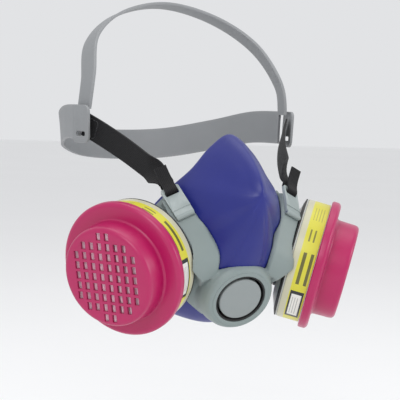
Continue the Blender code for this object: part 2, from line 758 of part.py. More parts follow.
def make_straps(side, word):
    """Upper strap and the doubled tail that hangs from the buckle."""
    path = strap_path(side)
    across = band_across(path, side)
    first = buckle_frame(side).to_3x3() @ Vector((1, 0, 0))
    if first.dot(across[0]) < 0:
        first = -first
    across[0] = first
    across[1] = (across[1] + first).normalized()
    shape = ribbon(path, [STRAP_WIDTH] * len(path), STRAP_THICK, across)
    fix_normals(add_object("upper_strap_" + word, shape[0], shape[1], "strap_webbing"))
    frame = buckle_frame(side)
    origin = frame.translation.copy()
    top = BUCKLE_LENGTH
    loop = [(top + 5.9, 0.6), (top + 4.0, -1.6), (top - 0.5, -1.8), (top - 2.8, -1.4), (top - 3.2, 0.8),
            (top - 3.0, 3.0), (top + 2.0, 3.4), (top + 7.0, 5.4), (top + 13.0, 9.0)]
    points = [frame @ Vector((0, y, z)) for y, z in loop]
    side_dir = frame.to_3x3() @ Vector((1, 0, 0))
    width = BUCKLE_WIDTH - 4.4
    tail = ribbon(points, [width] * len(points), 1.2, [side_dir] * len(points))
    fix_normals(add_object("strap_tail_" + word, tail[0], tail[1], "strap_webbing", origin))


def make_cradle():
    """Crown band, rear band and the two side plates."""
    base = JUNCTION
    half = [base + Vector((-0.5, 2.5, 10)), Vector((72, 68, 79)), Vector((62, 88, 105)), Vector((36, 104, 124)),
            Vector((0, 110, 132))]
    full = half + [mirror(p, -1) for p in half[-2::-1]]
    path = [Vector(p) for p in catmull([tuple(p) for p in full], 3)]
    shape = ribbon(path, [15.0] * len(path), BAND_THICK, band_across(path, 1))
    fix_normals(add_object("cradle_crown_band", shape[0], shape[1], "cradle_plastic"))
    rear_key = [Vector((71, 108, 48)), Vector((58, 145, 41)), Vector((32, 172, 34)), Vector((0, 182, 32))]
    half = [base + Vector((0.5, 12, 1))] + [on_head(p) for p in rear_key]
    full = half + [mirror(p, -1) for p in half[-2::-1]]
    path = [Vector(p) for p in catmull([tuple(p) for p in full], 3)]
    shape = ribbon(path, [23.0] * len(path), BAND_THICK, band_across(path, 1))
    fix_normals(add_object("cradle_rear_band", shape[0], shape[1], "cradle_plastic"))


def lens(name, centre, normal, up, size, thick, mat, origin=None):
    """A flat eight-sided plate."""
    frame = frame_of(centre, normal, up)
    outline = []
    w, h = size[0] / 2, size[1] / 2
    c = min(w, h) * 0.45
    for x, y in ((w, h - c), (w - c, h), (c - w, h), (-w, h - c), (-w, c - h), (c - w, -h), (w - c, -h), (w, c - h)):
        outline.append((x, y))
    verts = [frame @ Vector((x, y, z)) for z in (-thick / 2, thick / 2) for x, y in outline]
    n = len(outline)
    faces = [tuple(range(n - 1, -1, -1)), tuple(range(n, 2 * n))]
    faces += [(i, (i + 1) % n, n + (i + 1) % n, n + i) for i in range(n)]
    obj = add_object(name, verts, faces, mat, origin or Vector((0, 0, 0)), smooth=False)
    fix_normals(obj)
    return obj


def make_side_plate(side, word):
    """Plate where the strap meets the cradle."""
    centre = mirror(JUNCTION, side)
    n = head_normal(centre)
    lens("cradle_side_plate_" + word, centre + n * 2.6, n, Vector((0, 0, 1)), (19, 25), 2.0, "cradle_plastic")


def make_neck(side, word):
    """Neck strap and the anchor that holds it to the yoke."""
    port = frame_of(cart_base(side), cart_axis(side))
    back = port.to_3x3() @ Vector((side, 0, 0))
    anchor = port @ Vector((side * 37.0, -9.0, -4.4))
    lens("neck_strap_anchor_" + word, anchor, cart_axis(side), Vector((0, 0, 1)), (16, 20), 2.2, "yoke_plastic")
    start = anchor + back * 8.8
    keys = [start, start + back * 13 + Vector((-side * 3, 4, -0.5)), Vector((side * 72, 96, -47)),
            Vector((side * 56, 130, -49)), Vector((side * 34, 148, -50)), Vector((side * 14.5, 152, -50))]
    path = [Vector(p) for p in catmull([tuple(p) for p in keys], 3)]
    shape = ribbon(path, [STRAP_WIDTH - 2] * len(path), STRAP_THICK, [Vector((0, 0, 1))] * len(path))
    fix_normals(add_object("neck_strap_" + word, shape[0], shape[1], "strap_webbing"))


def make_neck_clip():
    """Hook and eye at the nape."""
    frame = frame_of(NAPE, Vector((0, 1, 0)))
    hook = boxes([((-7.6, 0, 0), (12.4, 18, 2.4))], frame)
    obj = add_object("neck_clip_hook", hook[0], hook[1], "buckle_plastic", NAPE + Vector((13.8, 0, 0)), smooth=False)
    fix_normals(obj)
    for centre, size in (((-3.0, 0, 1.9), (3.0, 8.2, 2.0)), ((0.6, 0, 2.2), (6.4, 8, 1.4)),
                         ((3.1, 0, 0.6), (1.4, 7.8, 2.8))):
        cut(obj, temp("tongue_tool", boxes([(centre, size)], frame)), "UNION")
    tidy(obj)
    loop = boxes([((7.6, 0, 0), (12.4, 18, 2.4))], frame)
    obj = add_object("neck_clip_loop", loop[0], loop[1], "buckle_plastic", smooth=False)
    fix_normals(obj)
    cut(obj, temp("slot_tool", boxes([((4.0, 0, 0), (4.2, 10, 8))], frame)))
    tidy(obj)


def main():
    for old in list(bpy.data.objects):
        bpy.data.objects.remove(old)
    make_facepiece()
    make_yoke()
    make_exhalation()
    for side, word in ((1, "left"), (-1, "right")):
        make_connector(side, word)
        make_inhalation_flap(side, word)
        make_gasket(side, word)
        make_cartridge(side, word)
        make_buckle(side, word)
        make_straps(side, word)
        make_side_plate(side, word)
        make_neck(side, word)
    make_cradle()
    make_neck_clip()


main()
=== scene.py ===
import json
import math

import bmesh
import bpy
import numpy as np
from bpy.props import FloatProperty, FloatVectorProperty, IntProperty, PointerProperty
from mathutils import Matrix, Vector


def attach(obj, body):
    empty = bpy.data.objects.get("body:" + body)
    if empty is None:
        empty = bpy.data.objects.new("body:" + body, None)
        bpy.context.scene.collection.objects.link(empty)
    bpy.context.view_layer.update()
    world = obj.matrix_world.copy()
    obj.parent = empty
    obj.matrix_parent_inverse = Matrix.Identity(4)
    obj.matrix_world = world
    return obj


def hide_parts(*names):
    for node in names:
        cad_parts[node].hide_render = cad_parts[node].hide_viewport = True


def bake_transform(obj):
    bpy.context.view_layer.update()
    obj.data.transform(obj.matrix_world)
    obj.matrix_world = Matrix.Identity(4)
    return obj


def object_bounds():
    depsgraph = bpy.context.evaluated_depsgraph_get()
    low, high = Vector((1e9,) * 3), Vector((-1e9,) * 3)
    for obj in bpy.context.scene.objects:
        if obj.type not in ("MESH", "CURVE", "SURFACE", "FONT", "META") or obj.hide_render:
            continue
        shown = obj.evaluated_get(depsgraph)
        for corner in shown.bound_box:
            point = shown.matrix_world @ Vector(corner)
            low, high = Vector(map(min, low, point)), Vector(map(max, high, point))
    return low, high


bl_info = {
    "name": "Half-mask respirator",
    "version": (1, 0, 0),
    "blender": (4, 5, 0),
    "location": "3D View > Sidebar > Respirator",
    "description": "Builds a half-mask respirator round its packed frame",
    "category": "Object",
}

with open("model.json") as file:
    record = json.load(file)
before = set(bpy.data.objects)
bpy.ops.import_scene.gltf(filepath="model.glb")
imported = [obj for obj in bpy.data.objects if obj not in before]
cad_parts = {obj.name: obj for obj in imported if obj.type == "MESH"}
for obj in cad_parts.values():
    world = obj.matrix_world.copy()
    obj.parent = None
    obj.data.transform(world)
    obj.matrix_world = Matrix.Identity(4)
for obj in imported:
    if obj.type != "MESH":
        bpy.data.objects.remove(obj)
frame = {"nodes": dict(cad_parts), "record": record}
CAD_BOX = [[float(v) for v in corner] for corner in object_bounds()]
RECORD = frame["record"]
JOINTS = {j["name"]: j for j in RECORD["behaviour"]["joints"]}
MOUNTS = {m["name"]: m for m in RECORD["mounts"]}
SIDES = ((1, "left"), (-1, "right"))
MM = 0.001

# the facepiece's seal rim on one side, nose bridge to chin, and how full its wall is by direction
NOSE_TIP = Vector((0.0, -46.0, 8.0))
SEAL_CENTRE = Vector((0.0, 20.0, -18.0))
RIM_HALF = [(0.0, 1.0, 45.0), (13.0, 2.0, 36.5), (25.0, 4.0, 22.0), (38.0, 10.5, 8.0), (50.0, 23.0, -12.0),
            (56.0, 31.0, -30.0), (53.0, 35.0, -46.0), (44.0, 31.0, -62.0), (28.0, 25.0, -73.0),
            (0.0, 20.0, -80.0)]
WALL_FULLNESS = [(0.0, 1.38), (85.0, 1.27), (138.0, 1.17), (164.0, 1.46), (180.0, 1.46)]
TIP_ROUND = 0.10
# the nose ridge and the flat facet under it: how far each stands out, and half the ridge's width
RIDGE_HEIGHT = 1.5
RIDGE_HALF = 6.0
FACET_HEIGHT = 0.9
# the yoke's inner and outer edge on one side, seen from the front
YOKE_EDGES = [((36.8, 8.0), (47.6, -8.5)), ((31.4, -4.0), (46.0, -18.0)), ((22.4, -17.0), (42.0, -33.0)),
              ((17.6, -30.0), (36.0, -47.0)), ((16.4, -42.0), (27.0, -60.0)), ((9.0, -48.0), (14.0, -70.0))]
# each arm's front face: inner edge and foot seen from the front, and its width
ARM_FACES = [((36.8, 8.0), (43.5, -2.5), 13.4), ((30.2, -4.6), (39.5, -13.5), 15.0),
             ((22.4, -17.0), (34.0, -26.5), 19.0), ((17.6, -30.0), (29.0, -40.5), 19.0),
             ((16.4, -42.0), (24.0, -55.0), 10.0)]
ARM_LIFT = 3.2
ARM_REACH = 17.0
ARM_STEPS = 8
ARM_UP = Vector((0.22, 0.68, 0.70)).normalized()
ARM_ACROSS = Vector((0.92, 0.26, -0.30))
HEAD_CENTRE = Vector((0.0, 90.0, 52.0))
HEAD_RADII = Vector((72.0, 97.0, 80.0))
JUNCTION = Vector((75.5, 63.5, 48.0))
# bores through cup and yoke, how far a leg of the yoke sinks into the cup, and the cradle bands
PORT_BORE = 16.3
VALVE_BORE_CUP = 17.5
VALVE_BORE_YOKE = 17.2
SUNK = 1.5
YOKE_THICKNESS = 2.8
CRADLE_THICKNESS = 1.9
CRADLE_CROWN = 0.12
CRADLE_PLATE = (19, 25, 4.5)
CRADLE_PLATE_LIFT = 2.6
CLIP_PLATE = (12.4, 18, 2.0)
CLIP_HALF = 1.2
FLOOR_HALF = 8
SENSOR_WIDTH = 36.0
# faces round a turned part: large, middle and small ones
FINE, ROUND, SMALL = 144, 128, 96
# a valve's cross spokes and a bayonet's or clip's places round the axis
QUARTER, THIRD, TWELFTH = math.pi / 2, 2 * math.pi / 3, math.pi / 6
# each studio light: name, place, width and power
LIGHTS = (("key", (-0.75, -0.95, 0.85), 0.7, 6.0), ("fill", (1.1, -0.7, 0.35), 0.5, 3.0),
          ("top", (0.1, 0.1, 1.3), 1.2, 5.0))


# ---------------------------------------------------------------- sizes and colours

def size(name, text, default):
    """A length in millimetres that a user may change."""
    return FloatProperty(name=name, description=text, default=default, min=0.0, unit="NONE")


def colour(name, text, default):
    """A linear colour that a user may change."""
    return FloatVectorProperty(name=name, description=text, default=default, size=3, min=0.0, max=1.0,
                               subtype="COLOR")


class FacepieceSizes(bpy.types.PropertyGroup):
    wall: size("Wall", "Thickness of the elastomer wall, mm", 2.2)
    lip_radius: size("Lip radius", "Radius of the rolled seal edge, mm", 3.4)
    lip_reach: FloatProperty(name="Lip reach", description="Inner edge of the seal as a share of the rim",
                             default=0.76, min=0.5, max=0.95, subtype="FACTOR")
    columns: IntProperty(name="Columns", description="Columns of faces round the rim", default=168, min=40)
    rows: IntProperty(name="Rows", description="Rows of faces from nose tip to rim", default=40, min=10)


class CartridgeSizes(bpy.types.PropertyGroup):
    base_radius: size("Base radius", "Radius of the cartridge shell, mm", 40.0)
    base_height: size("Base height", "Height of the bare shell under the label, mm", 6.4)
    label_height: size("Label height", "Height of the label band, mm", 15.0)
    flange_radius: size("Flange radius", "Radius of the filter cap's flange, mm", 43.5)
    flange_height: size("Flange height", "Thickness of the flange, mm", 6.4)
    cap_radius: size("Cap radius", "Radius of the raised cap, mm", 32.4)
    cap_height: size("Cap height", "Height of the raised cap over the flange, mm", 15.6)
    slot_pitch: size("Slot pitch", "Distance between columns of slots, mm", 6.0)
    row_pitch: size("Row pitch", "Distance between rows of slots, mm", 6.6)
    slot_width: size("Slot width", "Width of a slot, mm", 3.3)
    slot_length: size("Slot length", "Length of a slot, mm", 4.9)
    grille_radius: size("Grille radius", "Radius that holds the slots' centres, mm", 27.5)


class HarnessSizes(bpy.types.PropertyGroup):
    strap_width: size("Strap width", "Width of the elastic strap, mm", 17.0)
    strap_thickness: size("Strap thickness", "Thickness of the elastic strap, mm", 1.3)
    buckle_width: size("Buckle width", "Width of the strap buckle, mm", 12.4)
    buckle_length: size("Buckle length", "Pivot to the far end of the strap buckle, mm", 21.0)
    crown_width: size("Crown band width", "Width of the band over the head, mm", 15.0)
    rear_width: size("Rear band width", "Width of the band behind the head, mm", 23.0)


class Finishes(bpy.types.PropertyGroup):
    facepiece: colour("Facepiece", "Elastomer of the cup", (0.014, 0.020, 0.195))
    yoke: colour("Yoke", "Moulded plastic of the yoke", (0.235, 0.285, 0.280))
    buckle: colour("Buckles", "Moulded plastic of the buckles", (0.28, 0.33, 0.325))
    cap: colour("Filter cap", "Moulded plastic of the filter cap", (0.43, 0.004, 0.095))
    label: colour("Label", "Ground colour of the label band", (0.68, 0.63, 0.030))
    label_foot: colour("Label foot", "Pale strip along the label's lower edge", (0.58, 0.56, 0.42))
    shell: colour("Cartridge shell", "Moulded plastic of the cartridge", (0.50, 0.50, 0.46))
    media: colour("Filter media", "Fibre behind the slots", (1.0, 0.66, 0.76))
    cradle: colour("Cradle", "Plastic of the head cradle", (0.25, 0.26, 0.27))
    strap: colour("Strap", "Elastic webbing", (0.014, 0.014, 0.016))
    rubber: colour("Seals", "Black seals", (0.010, 0.010, 0.011))


class StageSettings(bpy.types.PropertyGroup):
    azimuth: FloatProperty(name="Azimuth", description="Camera angle round the object, degrees", default=-26.35)
    elevation: FloatProperty(name="Elevation", description="Camera height angle, degrees", default=3.75)
    roll: FloatProperty(name="Roll", description="Camera turn about its own axis, degrees", default=2.05)
    distance: FloatProperty(name="Distance", description="Camera to target, metres", default=0.961)
    lens: FloatProperty(name="Lens", description="Focal length, mm", default=130.8)
    floor_gap: FloatProperty(name="Floor gap", description="Height of the object over the floor, metres",
                             default=0.12)


# ---------------------------------------------------------------- shared helpers

def once(maker):
    """Make a maker's result the first time it is asked for and reuse it after that."""
    made = []

    def get():
        if not made:
            made.append(maker())
        return made[0]

    return get


def present(piece, body, node=None):
    """Hand a piece over: the body it rides on and the solid it stands for, which is hidden."""
    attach(piece, body)
    if node:
        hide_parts(node)


def link(name, data):
    """A new object for this mesh, lamp or camera, in the scene."""
    obj = bpy.data.objects.new(name, data)
    bpy.context.scene.collection.objects.link(obj)
    return obj


# ---------------------------------------------------------------- mesh helpers

def joint_place(name):
    """A hinge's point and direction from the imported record, in millimetres."""
    j = JOINTS[name]
    return Vector(j.get("pos_m", (0, 0, 0))) / MM, Vector(j["axis"]).normalized()


def frame_on(origin, normal):
    """Matrix whose columns are across, up and outward at `origin`."""
    n = normal.normalized()
    across = Vector((0, 0, 1)).cross(n).normalized()
    rise = n.cross(across)
    mat = Matrix((across, rise, n)).transposed().to_4x4()
    mat.translation = origin
    return mat


def port_frame(word):
    """Frame on a cartridge's inner face."""
    origin, axis = joint_place("cartridge_twist_" + word)
    return frame_on(origin, axis)


def valve_frame():
    """Frame on the exhalation cover's front face."""
    mount = MOUNTS["valve_cover_face"]
    return frame_on(Vector(mount["pos_m"]) / MM, Vector(mount["axis"]))


def write_mesh(name, verts, faces, mat=None, uvs=None):
    """A mesh object at the origin from millimetre vertices."""
    mesh = bpy.data.meshes.new(name)
    mesh.from_pydata([tuple(Vector(v) * MM) for v in verts], [], faces)
    if uvs:
        layer = mesh.uv_layers.new(name="UVMap")
        for poly in mesh.polygons:
            for loop, uv in zip(poly.loop_indices, uvs[poly.index]):
                layer.data[loop].uv = uv
    if mat:
        mesh.materials.append(mat)
    return link(name, mesh)


def outward(obj, split=False):
    """Merge doubles and turn a closed mesh's faces outward."""
    bm = bmesh.new()
    bm.from_mesh(obj.data)
    bmesh.ops.remove_doubles(bm, verts=bm.verts, dist=1e-8)
    if split:
        bmesh.ops.triangulate(bm, faces=bm.faces)
    bmesh.ops.recalc_face_normals(bm, faces=bm.faces)
    if bm.calc_volume(signed=True) < 0:
        bmesh.ops.reverse_faces(bm, faces=bm.faces)
    bm.to_mesh(obj.data)
    bm.free()
    return obj


def smooth(obj, angle=38.0):
    """Smooth shading with edges sharper than `angle` kept crisp."""
    obj.data.polygons.foreach_set("use_smooth", [True] * len(obj.data.polygons))
    obj.data.set_sharp_from_angle(angle=math.radians(angle))
    return obj


def bake(obj):
    """Replace the mesh with its evaluated result and drop the modifiers."""
    deps = bpy.context.evaluated_depsgraph_get()
    mesh = bpy.data.meshes.new_from_object(obj.evaluated_get(deps))
    old = obj.data
    obj.modifiers.clear()
    obj.data = mesh
    mesh.name = obj.name
    bpy.data.meshes.remove(old)
    return obj


def drop(obj):
    """Remove an object and its mesh."""
    mesh = obj.data
    bpy.data.objects.remove(obj)
    bpy.data.meshes.remove(mesh)


def cut(obj, shape, mode="DIFFERENCE", solver="EXACT"):
    """Boolean an object with a closed (verts, faces) shape."""
    tool = outward(write_mesh("tool", *shape), split=True)
    mod = obj.modifiers.new("cut", "BOOLEAN")
    mod.operation = mode
    mod.solver = solver
    mod.object = tool
    bake(obj)
    drop(tool)
    return obj


def bevel(obj, width, segments=3):
    """Round an object's edges by `width` millimetres."""
    mod = obj.modifiers.new("round", "BEVEL")
    mod.width = width * MM
    mod.segments = segments
    mod.limit_method = "ANGLE"
    mod.angle_limit = math.radians(40)
    mod.use_clamp_overlap = True
    return smooth(bake(obj), 50)


def join(name, objs):
    """Join several objects into one mesh."""
    bm = bmesh.new()
    for obj in objs:
        bm.from_mesh(obj.data)
    mesh = bpy.data.meshes.new(name)
    bm.to_mesh(mesh)
    bm.free()
    for mat in objs[0].data.materials:
        mesh.materials.append(mat)
    for obj in objs:
        drop(obj)
    return link(name, mesh)


def rounded(points, radius, steps=5):
    """Round the corners of a closed (r, h) outline; points on the axis stay."""
    out = []
    n = len(points)
    for i, p in enumerate(points):
        if p[0] < 1e-6 or (len(p) > 2 and p[2] == 0):
            out.append((p[0], p[1]))
            continue
        r = p[2] if len(p) > 2 else radius
        a, c = Vector(points[i - 1][:2]), Vector(points[(i + 1) % n][:2])
        b = Vector(p[:2])
        u, v = (a - b), (c - b)
        reach = min(r, 0.45 * u.length, 0.45 * v.length)
        s, e = b + u.normalized() * reach, b + v.normalized() * reach
        for k in range(steps + 1):
            t = k / steps
            q = s.lerp(b, t).lerp(b.lerp(e, t), t)
            out.append((q.x, q.y))
    return out


def lathe(profile, mat, seg=128):
    """Revolve a closed (r, h) outline; where it meets the axis a flat disc closes it."""
    verts, rings, faces = [], [], []
    for r, h in profile:
        if r < 1e-6:
            rings.append(None)
            continue
        rings.append(list(range(len(verts), len(verts) + seg)))
        for i in range(seg):
            a = 2 * math.pi * i / seg
            verts.append(mat @ Vector((r * math.cos(a), r * math.sin(a), h)))
    for k, one in enumerate(rings):
        two = rings[(k + 1) % len(rings)]
        if one is None and two is None:
            continue
        if one is None or two is None:
            faces.append(tuple(one or two))
            continue
        for i in range(seg):
            j = (i + 1) % seg
            faces.append((one[i], one[j], two[j], two[i]))
    return verts, faces


def turned(name, outline, mat, seg, finish, crisp=None):
    """A closed turned piece facing outward, smoothed if `crisp` gives the angle that stays sharp."""
    obj = outward(write_mesh(name, *lathe(outline, mat, seg), finish))
    return smooth(obj, crisp) if crisp else obj


def plate(name, mat, outline, low, high, finish, shift=(0, 0)):
    """A closed flat plate facing outward."""
    return outward(write_mesh(name, *prism(mat, outline, low, high, shift), finish))


def cylinder(mat, radius, low, high):
    """A closed cylinder along the frame's outward axis."""
    return lathe([(0, low), (radius, low), (radius, high), (0, high)], mat, SMALL)


def box_shape(mat, centre, extent):
    """A closed box in a frame."""
    verts = []
    for dz in (-0.5, 0.5):
        for dx, dy in ((-0.5, -0.5), (0.5, -0.5), (0.5, 0.5), (-0.5, 0.5)):
            verts.append(mat @ Vector((centre[0] + dx * extent[0], centre[1] + dy * extent[1],
                                       centre[2] + dz * extent[2])))
    faces = [(0, 3, 2, 1), (4, 5, 6, 7)] + [(i, (i + 1) % 4, 4 + (i + 1) % 4, 4 + i) for i in range(4)]
    return verts, faces


def plate_outline(width, height, corner):
    """Rounded rectangle as points, counter-clockwise."""
    out = []
    steps = 6
    for cx, cy, start in ((1, 1, 0), (-1, 1, 90), (-1, -1, 180), (1, -1, 270)):
        for k in range(steps + 1):
            a = math.radians(start + 90 * k / steps)
            out.append((cx * (width / 2 - corner) + corner * math.cos(a),
                        cy * (height / 2 - corner) + corner * math.sin(a)))
    return out


def prism(mat, outline, low, high, shift=(0, 0)):
    """A closed plate between two heights in a frame."""
    n = len(outline)
    verts = [mat @ Vector((x + shift[0], y + shift[1], z)) for z in (low, high) for x, y in outline]
    faces = [tuple(range(n - 1, -1, -1)), tuple(range(n, 2 * n))]
    faces += [(i, (i + 1) % n, n + (i + 1) % n, n + i) for i in range(n)]
    return verts, faces


def catmull(points, per, closed=False):
    """Catmull-Rom samples through the points, `per` steps each span."""
    pts = [np.array(p, dtype=float) for p in points]
    n = len(pts)
    out = []
    for i in range(n if closed else n - 1):
        if closed:
            a, b, c, d = (pts[(i + k) % n] for k in (-1, 0, 1, 2))
        else:
            a, b, c, d = pts[max(i - 1, 0)], pts[i], pts[i + 1], pts[min(i + 2, n - 1)]
        for s in range(per):
            t = s / per
            out.append(0.5 * (2 * b + (c - a) * t + (2 * a - 5 * b + 4 * c - d) * t ** 2
                              + (3 * b - a - 3 * c + d) * t ** 3))
    if not closed:
        out.append(pts[-1])
    return np.array(out)


def even(points, step):
    """The same path as Vectors about `step` apart."""
    pts = np.array([tuple(p) for p in points])
    gap = np.linalg.norm(np.diff(pts, axis=0), axis=1)
    along = np.concatenate([[0], np.cumsum(gap)])
    count = max(2, int(round(along[-1] / step)) + 1)
    want = np.linspace(0, along[-1], count)
    return [Vector([float(np.interp(w, along, pts[:, k])) for k in range(3)]) for w in want]


def band(name, path, across, width, thick, mat, crown=0.0):
    """A flat band with rounded edges along a path, with U across and V along in metres."""
    widths = width if isinstance(width, list) else [width] * len(path)
    inset = 1 - 0.35 * thick / widths[-1]
    columns = 10
    steps = [-1 + 2 * k / columns for k in range(columns + 1)]
    ring = [(x * inset, 0.5 + crown * (1 - x * x)) for x in steps] + [(1.0, 0.0)]
    ring += [(x * inset, -0.5 + crown * (1 - x * x)) for x in reversed(steps)] + [(-1.0, 0.0)]
    m = len(ring)
    verts, faces, uvs, rows = [], [], [], []
    along = 0.0
    count = len(path)
    for i, p in enumerate(path):
        tangent = (path[min(i + 1, count - 1)] - path[max(i - 1, 0)]).normalized()
        side = (across[i] - tangent * across[i].dot(tangent)).normalized()
        n = side.cross(tangent).normalized()
        if i:
            along += (p - path[i - 1]).length * MM
        rows.append(along)
        for x, z in ring:
            verts.append(p + side * (x * widths[i] / 2) + n * (z * thick))

    def place(k, i):
        return ring[k][0] * widths[i] / 2 * MM, rows[i]

    for i in range(count - 1):
        a, b = i * m, (i + 1) * m
        for k in range(m):
            j = (k + 1) % m
            faces.append((a + k, a + j, b + j, b + k))
            uvs.append([place(k, i), place(j, i), place(j, i + 1), place(k, i + 1)])
    last = (count - 1) * m
    faces.append(tuple(range(m - 1, -1, -1)))
    uvs.append([place(k, 0) for k in range(m - 1, -1, -1)])
    faces.append(tuple(last + k for k in range(m)))
    uvs.append([place(k, count - 1) for k in range(m)])
    return smooth(outward(write_mesh(name, verts, faces, mat, uvs)), 60)


# ---------------------------------------------------------------- facepiece surface

def rim_loop(count):
    """Seal rim as `count` points evenly spaced along its length."""
    mirrored = [(-x, y, z) for x, y, z in RIM_HALF[-2:0:-1]]
    dense = catmull(RIM_HALF + mirrored, 24, closed=True)
    dense = np.vstack([dense, dense[:1]])
    step = np.linalg.norm(np.diff(dense, axis=0), axis=1)
    along = np.concatenate([[0], np.cumsum(step)])
    want = np.arange(count) * along[-1] / count
    return np.stack([np.interp(want, along, dense[:, k]) for k in range(3)], axis=1)


RIM_DENSE = rim_loop(720)
RIM_ANGLE = np.arctan2(RIM_DENSE[:, 0], RIM_DENSE[:, 2] - NOSE_TIP.z)
RIM_ORDER = np.argsort(RIM_ANGLE)


def fullness(rim):
    """How far the wall bulges, 1 for a straight cone, on the column to this rim point."""
    turn = abs(math.degrees(math.atan2(rim[0], rim[2] - NOSE_TIP.z)))
    for (a, pa), (b, pb) in zip(WALL_FULLNESS, WALL_FULLNESS[1:]):
        if turn <= b:
            s = (turn - a) / (b - a)
            return pa + (pb - pa) * s * s * (3 - 2 * s)
    return WALL_FULLNESS[-1][1]


def wall_fraction(t, power):
    """Share of the way from rim to nose tip at radial share t (0 tip, 1 rim)."""
    soft = math.sqrt(t * t + TIP_ROUND ** 2 * (1 - t) ** 2)
    return max(0.0, 1 - min(soft, 1.0) ** power) ** (1 / power)


def wall_point(rim, t):
    """Outer wall point on the column through this rim point."""
    power = fullness(rim)
    share = wall_fraction(t, power) / wall_fraction(0.0, power)
    return Vector((rim[0] * t, rim[1] + (NOSE_TIP.y - rim[1]) * share, NOSE_TIP.z + (rim[2] - NOSE_TIP.z) * t))


def wall_at(x, z):
    """Outer wall point above this front-view position."""
    angle = math.atan2(x, z - NOSE_TIP.z)
    rim = [float(np.interp(angle, RIM_ANGLE[RIM_ORDER], RIM_DENSE[RIM_ORDER, k], period=2 * math.pi))
           for k in range(3)]
    reach = math.hypot(rim[0], rim[2] - NOSE_TIP.z)
    t = min(math.hypot(x, z - NOSE_TIP.z) / reach, 1.0)
    return wall_point(rim, t) if t < 1 else Vector((x, rim[1], z))


def wall_normal(x, z):
    """Outward normal of the wall above this front-view position."""
    d = 0.6
    a = wall_at(x + d, z) - wall_at(x - d, z)
    b = wall_at(x, z + d) - wall_at(x, z - d)
    n = a.cross(b).normalized()
    return n if n.y < 0 else -n


def ease(t):
    """0 below 0, 1 above 1, with a smooth step between."""
    t = min(max(t, 0.0), 1.0)
    return t * t * (3 - 2 * t)


def relief(p):
    """The same point with the nose ridge and the flat facet under it raised a little."""
    if p.y > 0:
        return p
    high = ease((p.z - 4.0) / 14.0) * ease((44.0 - p.z) / 12.0)
    fall = math.sqrt(0.3 + min(abs(p.x), RIDGE_HALF - 0.1) ** 2)
    ridge = RIDGE_HEIGHT * high * (RIDGE_HALF - fall) / RIDGE_HALF
    low = ease((2.0 - p.z) / 40.0)
    half = 2.0 + 8.5 * low
    facet = FACET_HEIGHT * ease((half + 1.2 - abs(p.x)) / 2.4) * ease((1.0 - p.z) / 10.0) * ease((p.z + 46.0) / 6.0)
    return p + Vector((0, -ridge - facet, 0))


def face_sheet(columns, rows, radius, reach, lip=True):
    """Open sheet of the facepiece: nose tip, wall, rolled rim and inward seal flange."""
    rim = rim_loop(columns)
    verts = [wall_point(rim[0], 0.0)]
    rings = []
    for i in range(rows):
        t = math.sin(0.5 * math.pi * (i + 1) / rows) ** 1.15
        rings.append([wall_point(p, t) for p in rim])
    if lip:
        for phi in range(20, 161, 20):
            a = math.radians(phi)
            ring = []
            for p in rim:
                out = Vector((p[0] - SEAL_CENTRE.x, 0, p[2] - SEAL_CENTRE.z)).normalized()
                ring.append(Vector(p) - out * radius * (1 - math.cos(a)) + Vector((0, radius * math.sin(a), 0)))
            rings.append(ring)
        rolled = rings[-1]
        for k in range(1, 7):
            share = k / 6
            ring = []
            for p, q in zip(rim, rolled):
                end = Vector((SEAL_CENTRE.x + (p[0] - SEAL_CENTRE.x) * reach, p[1] - 2.4,
                              SEAL_CENTRE.z + (p[2] - SEAL_CENTRE.z) * reach))
                ring.append(q.lerp(end, share) + Vector((0, 0.8 * math.sin(math.pi * share), 0)))
            rings.append(ring)
    for ring in rings:
        verts += ring
    if lip:
        verts = [relief(v) for v in verts]
    faces = [(0, 1 + (j + 1) % columns, 1 + j) for j in range(columns)]
    for k in range(len(rings) - 1):
        a = 1 + k * columns
        b = a + columns
        for j in range(columns):
            i = (j + 1) % columns
            faces.append((a + j, a + i, b + i, b + j))
    return verts, faces


def face_block(grow):
    """Closed block filling the facepiece's outside, grown outward, for trimming the yoke."""
    columns, rows = 120, 24
    verts, faces = face_sheet(columns, rows, 0, 0, lip=False)
    moved = []
    for v in verts:
        n = wall_normal(v.x * 0.985, NOSE_TIP.z + (v.z - NOSE_TIP.z) * 0.985)
        moved.append(v + n * grow)
    base = 1 + (rows - 1) * columns
    k = len(moved)
    moved += [Vector((v.x, 48.0, v.z)) for v in moved[base:base + columns]]
    for j in range(columns):
        i = (j + 1) % columns
        faces.append((base + j, base + i, k + i, k + j))
    faces.append(tuple(k + j for j in range(columns)))
    return moved, faces


# ---------------------------------------------------------------- shader helpers

def socket_group(name, inputs, outputs):
    """A new shader node group with these sockets; returns it, its given values and its end node."""
    tree = bpy.data.node_groups.new(name, "ShaderNodeTree")
    for label, kind, default in inputs:
        sock = tree.interface.new_socket(label, in_out="INPUT", socket_type=kind)
        if default is not None:
            sock.default_value = default
    for label, kind in outputs:
        tree.interface.new_socket(label, in_out="OUTPUT", socket_type=kind)
    return tree, tree.nodes.new("NodeGroupInput").outputs, tree.nodes.new("NodeGroupOutput")


def add(tree, kind, links=None, **settings):
    """A node with its settings; each named input is linked to an output socket or given a value."""
    node = tree.nodes.new(kind)
    for key, value in settings.items():
        setattr(node, key, value)
    for key, value in (links or {}).items():
        sock = node.inputs[key]
        if isinstance(value, bpy.types.NodeSocket):
            tree.links.new(value, sock)
        else:
            sock.default_value = (*value[:3], 1.0) if sock.type == "RGBA" else value
    return node


def give(tree, value, node, name):
    """Link an output socket to a node's named input."""
    tree.links.new(value, node.inputs[name])


def maths(tree, op, a, b=None, clamp=False):
    """A Math node's output."""
    links = {0: a} if b is None else {0: a, 1: b}
    return add(tree, "ShaderNodeMath", links, operation=op, use_clamp=clamp).outputs[0]


def times(tree, a, b, clamp=False):
    """Two values multiplied."""
    return maths(tree, "MULTIPLY", a, b, clamp)


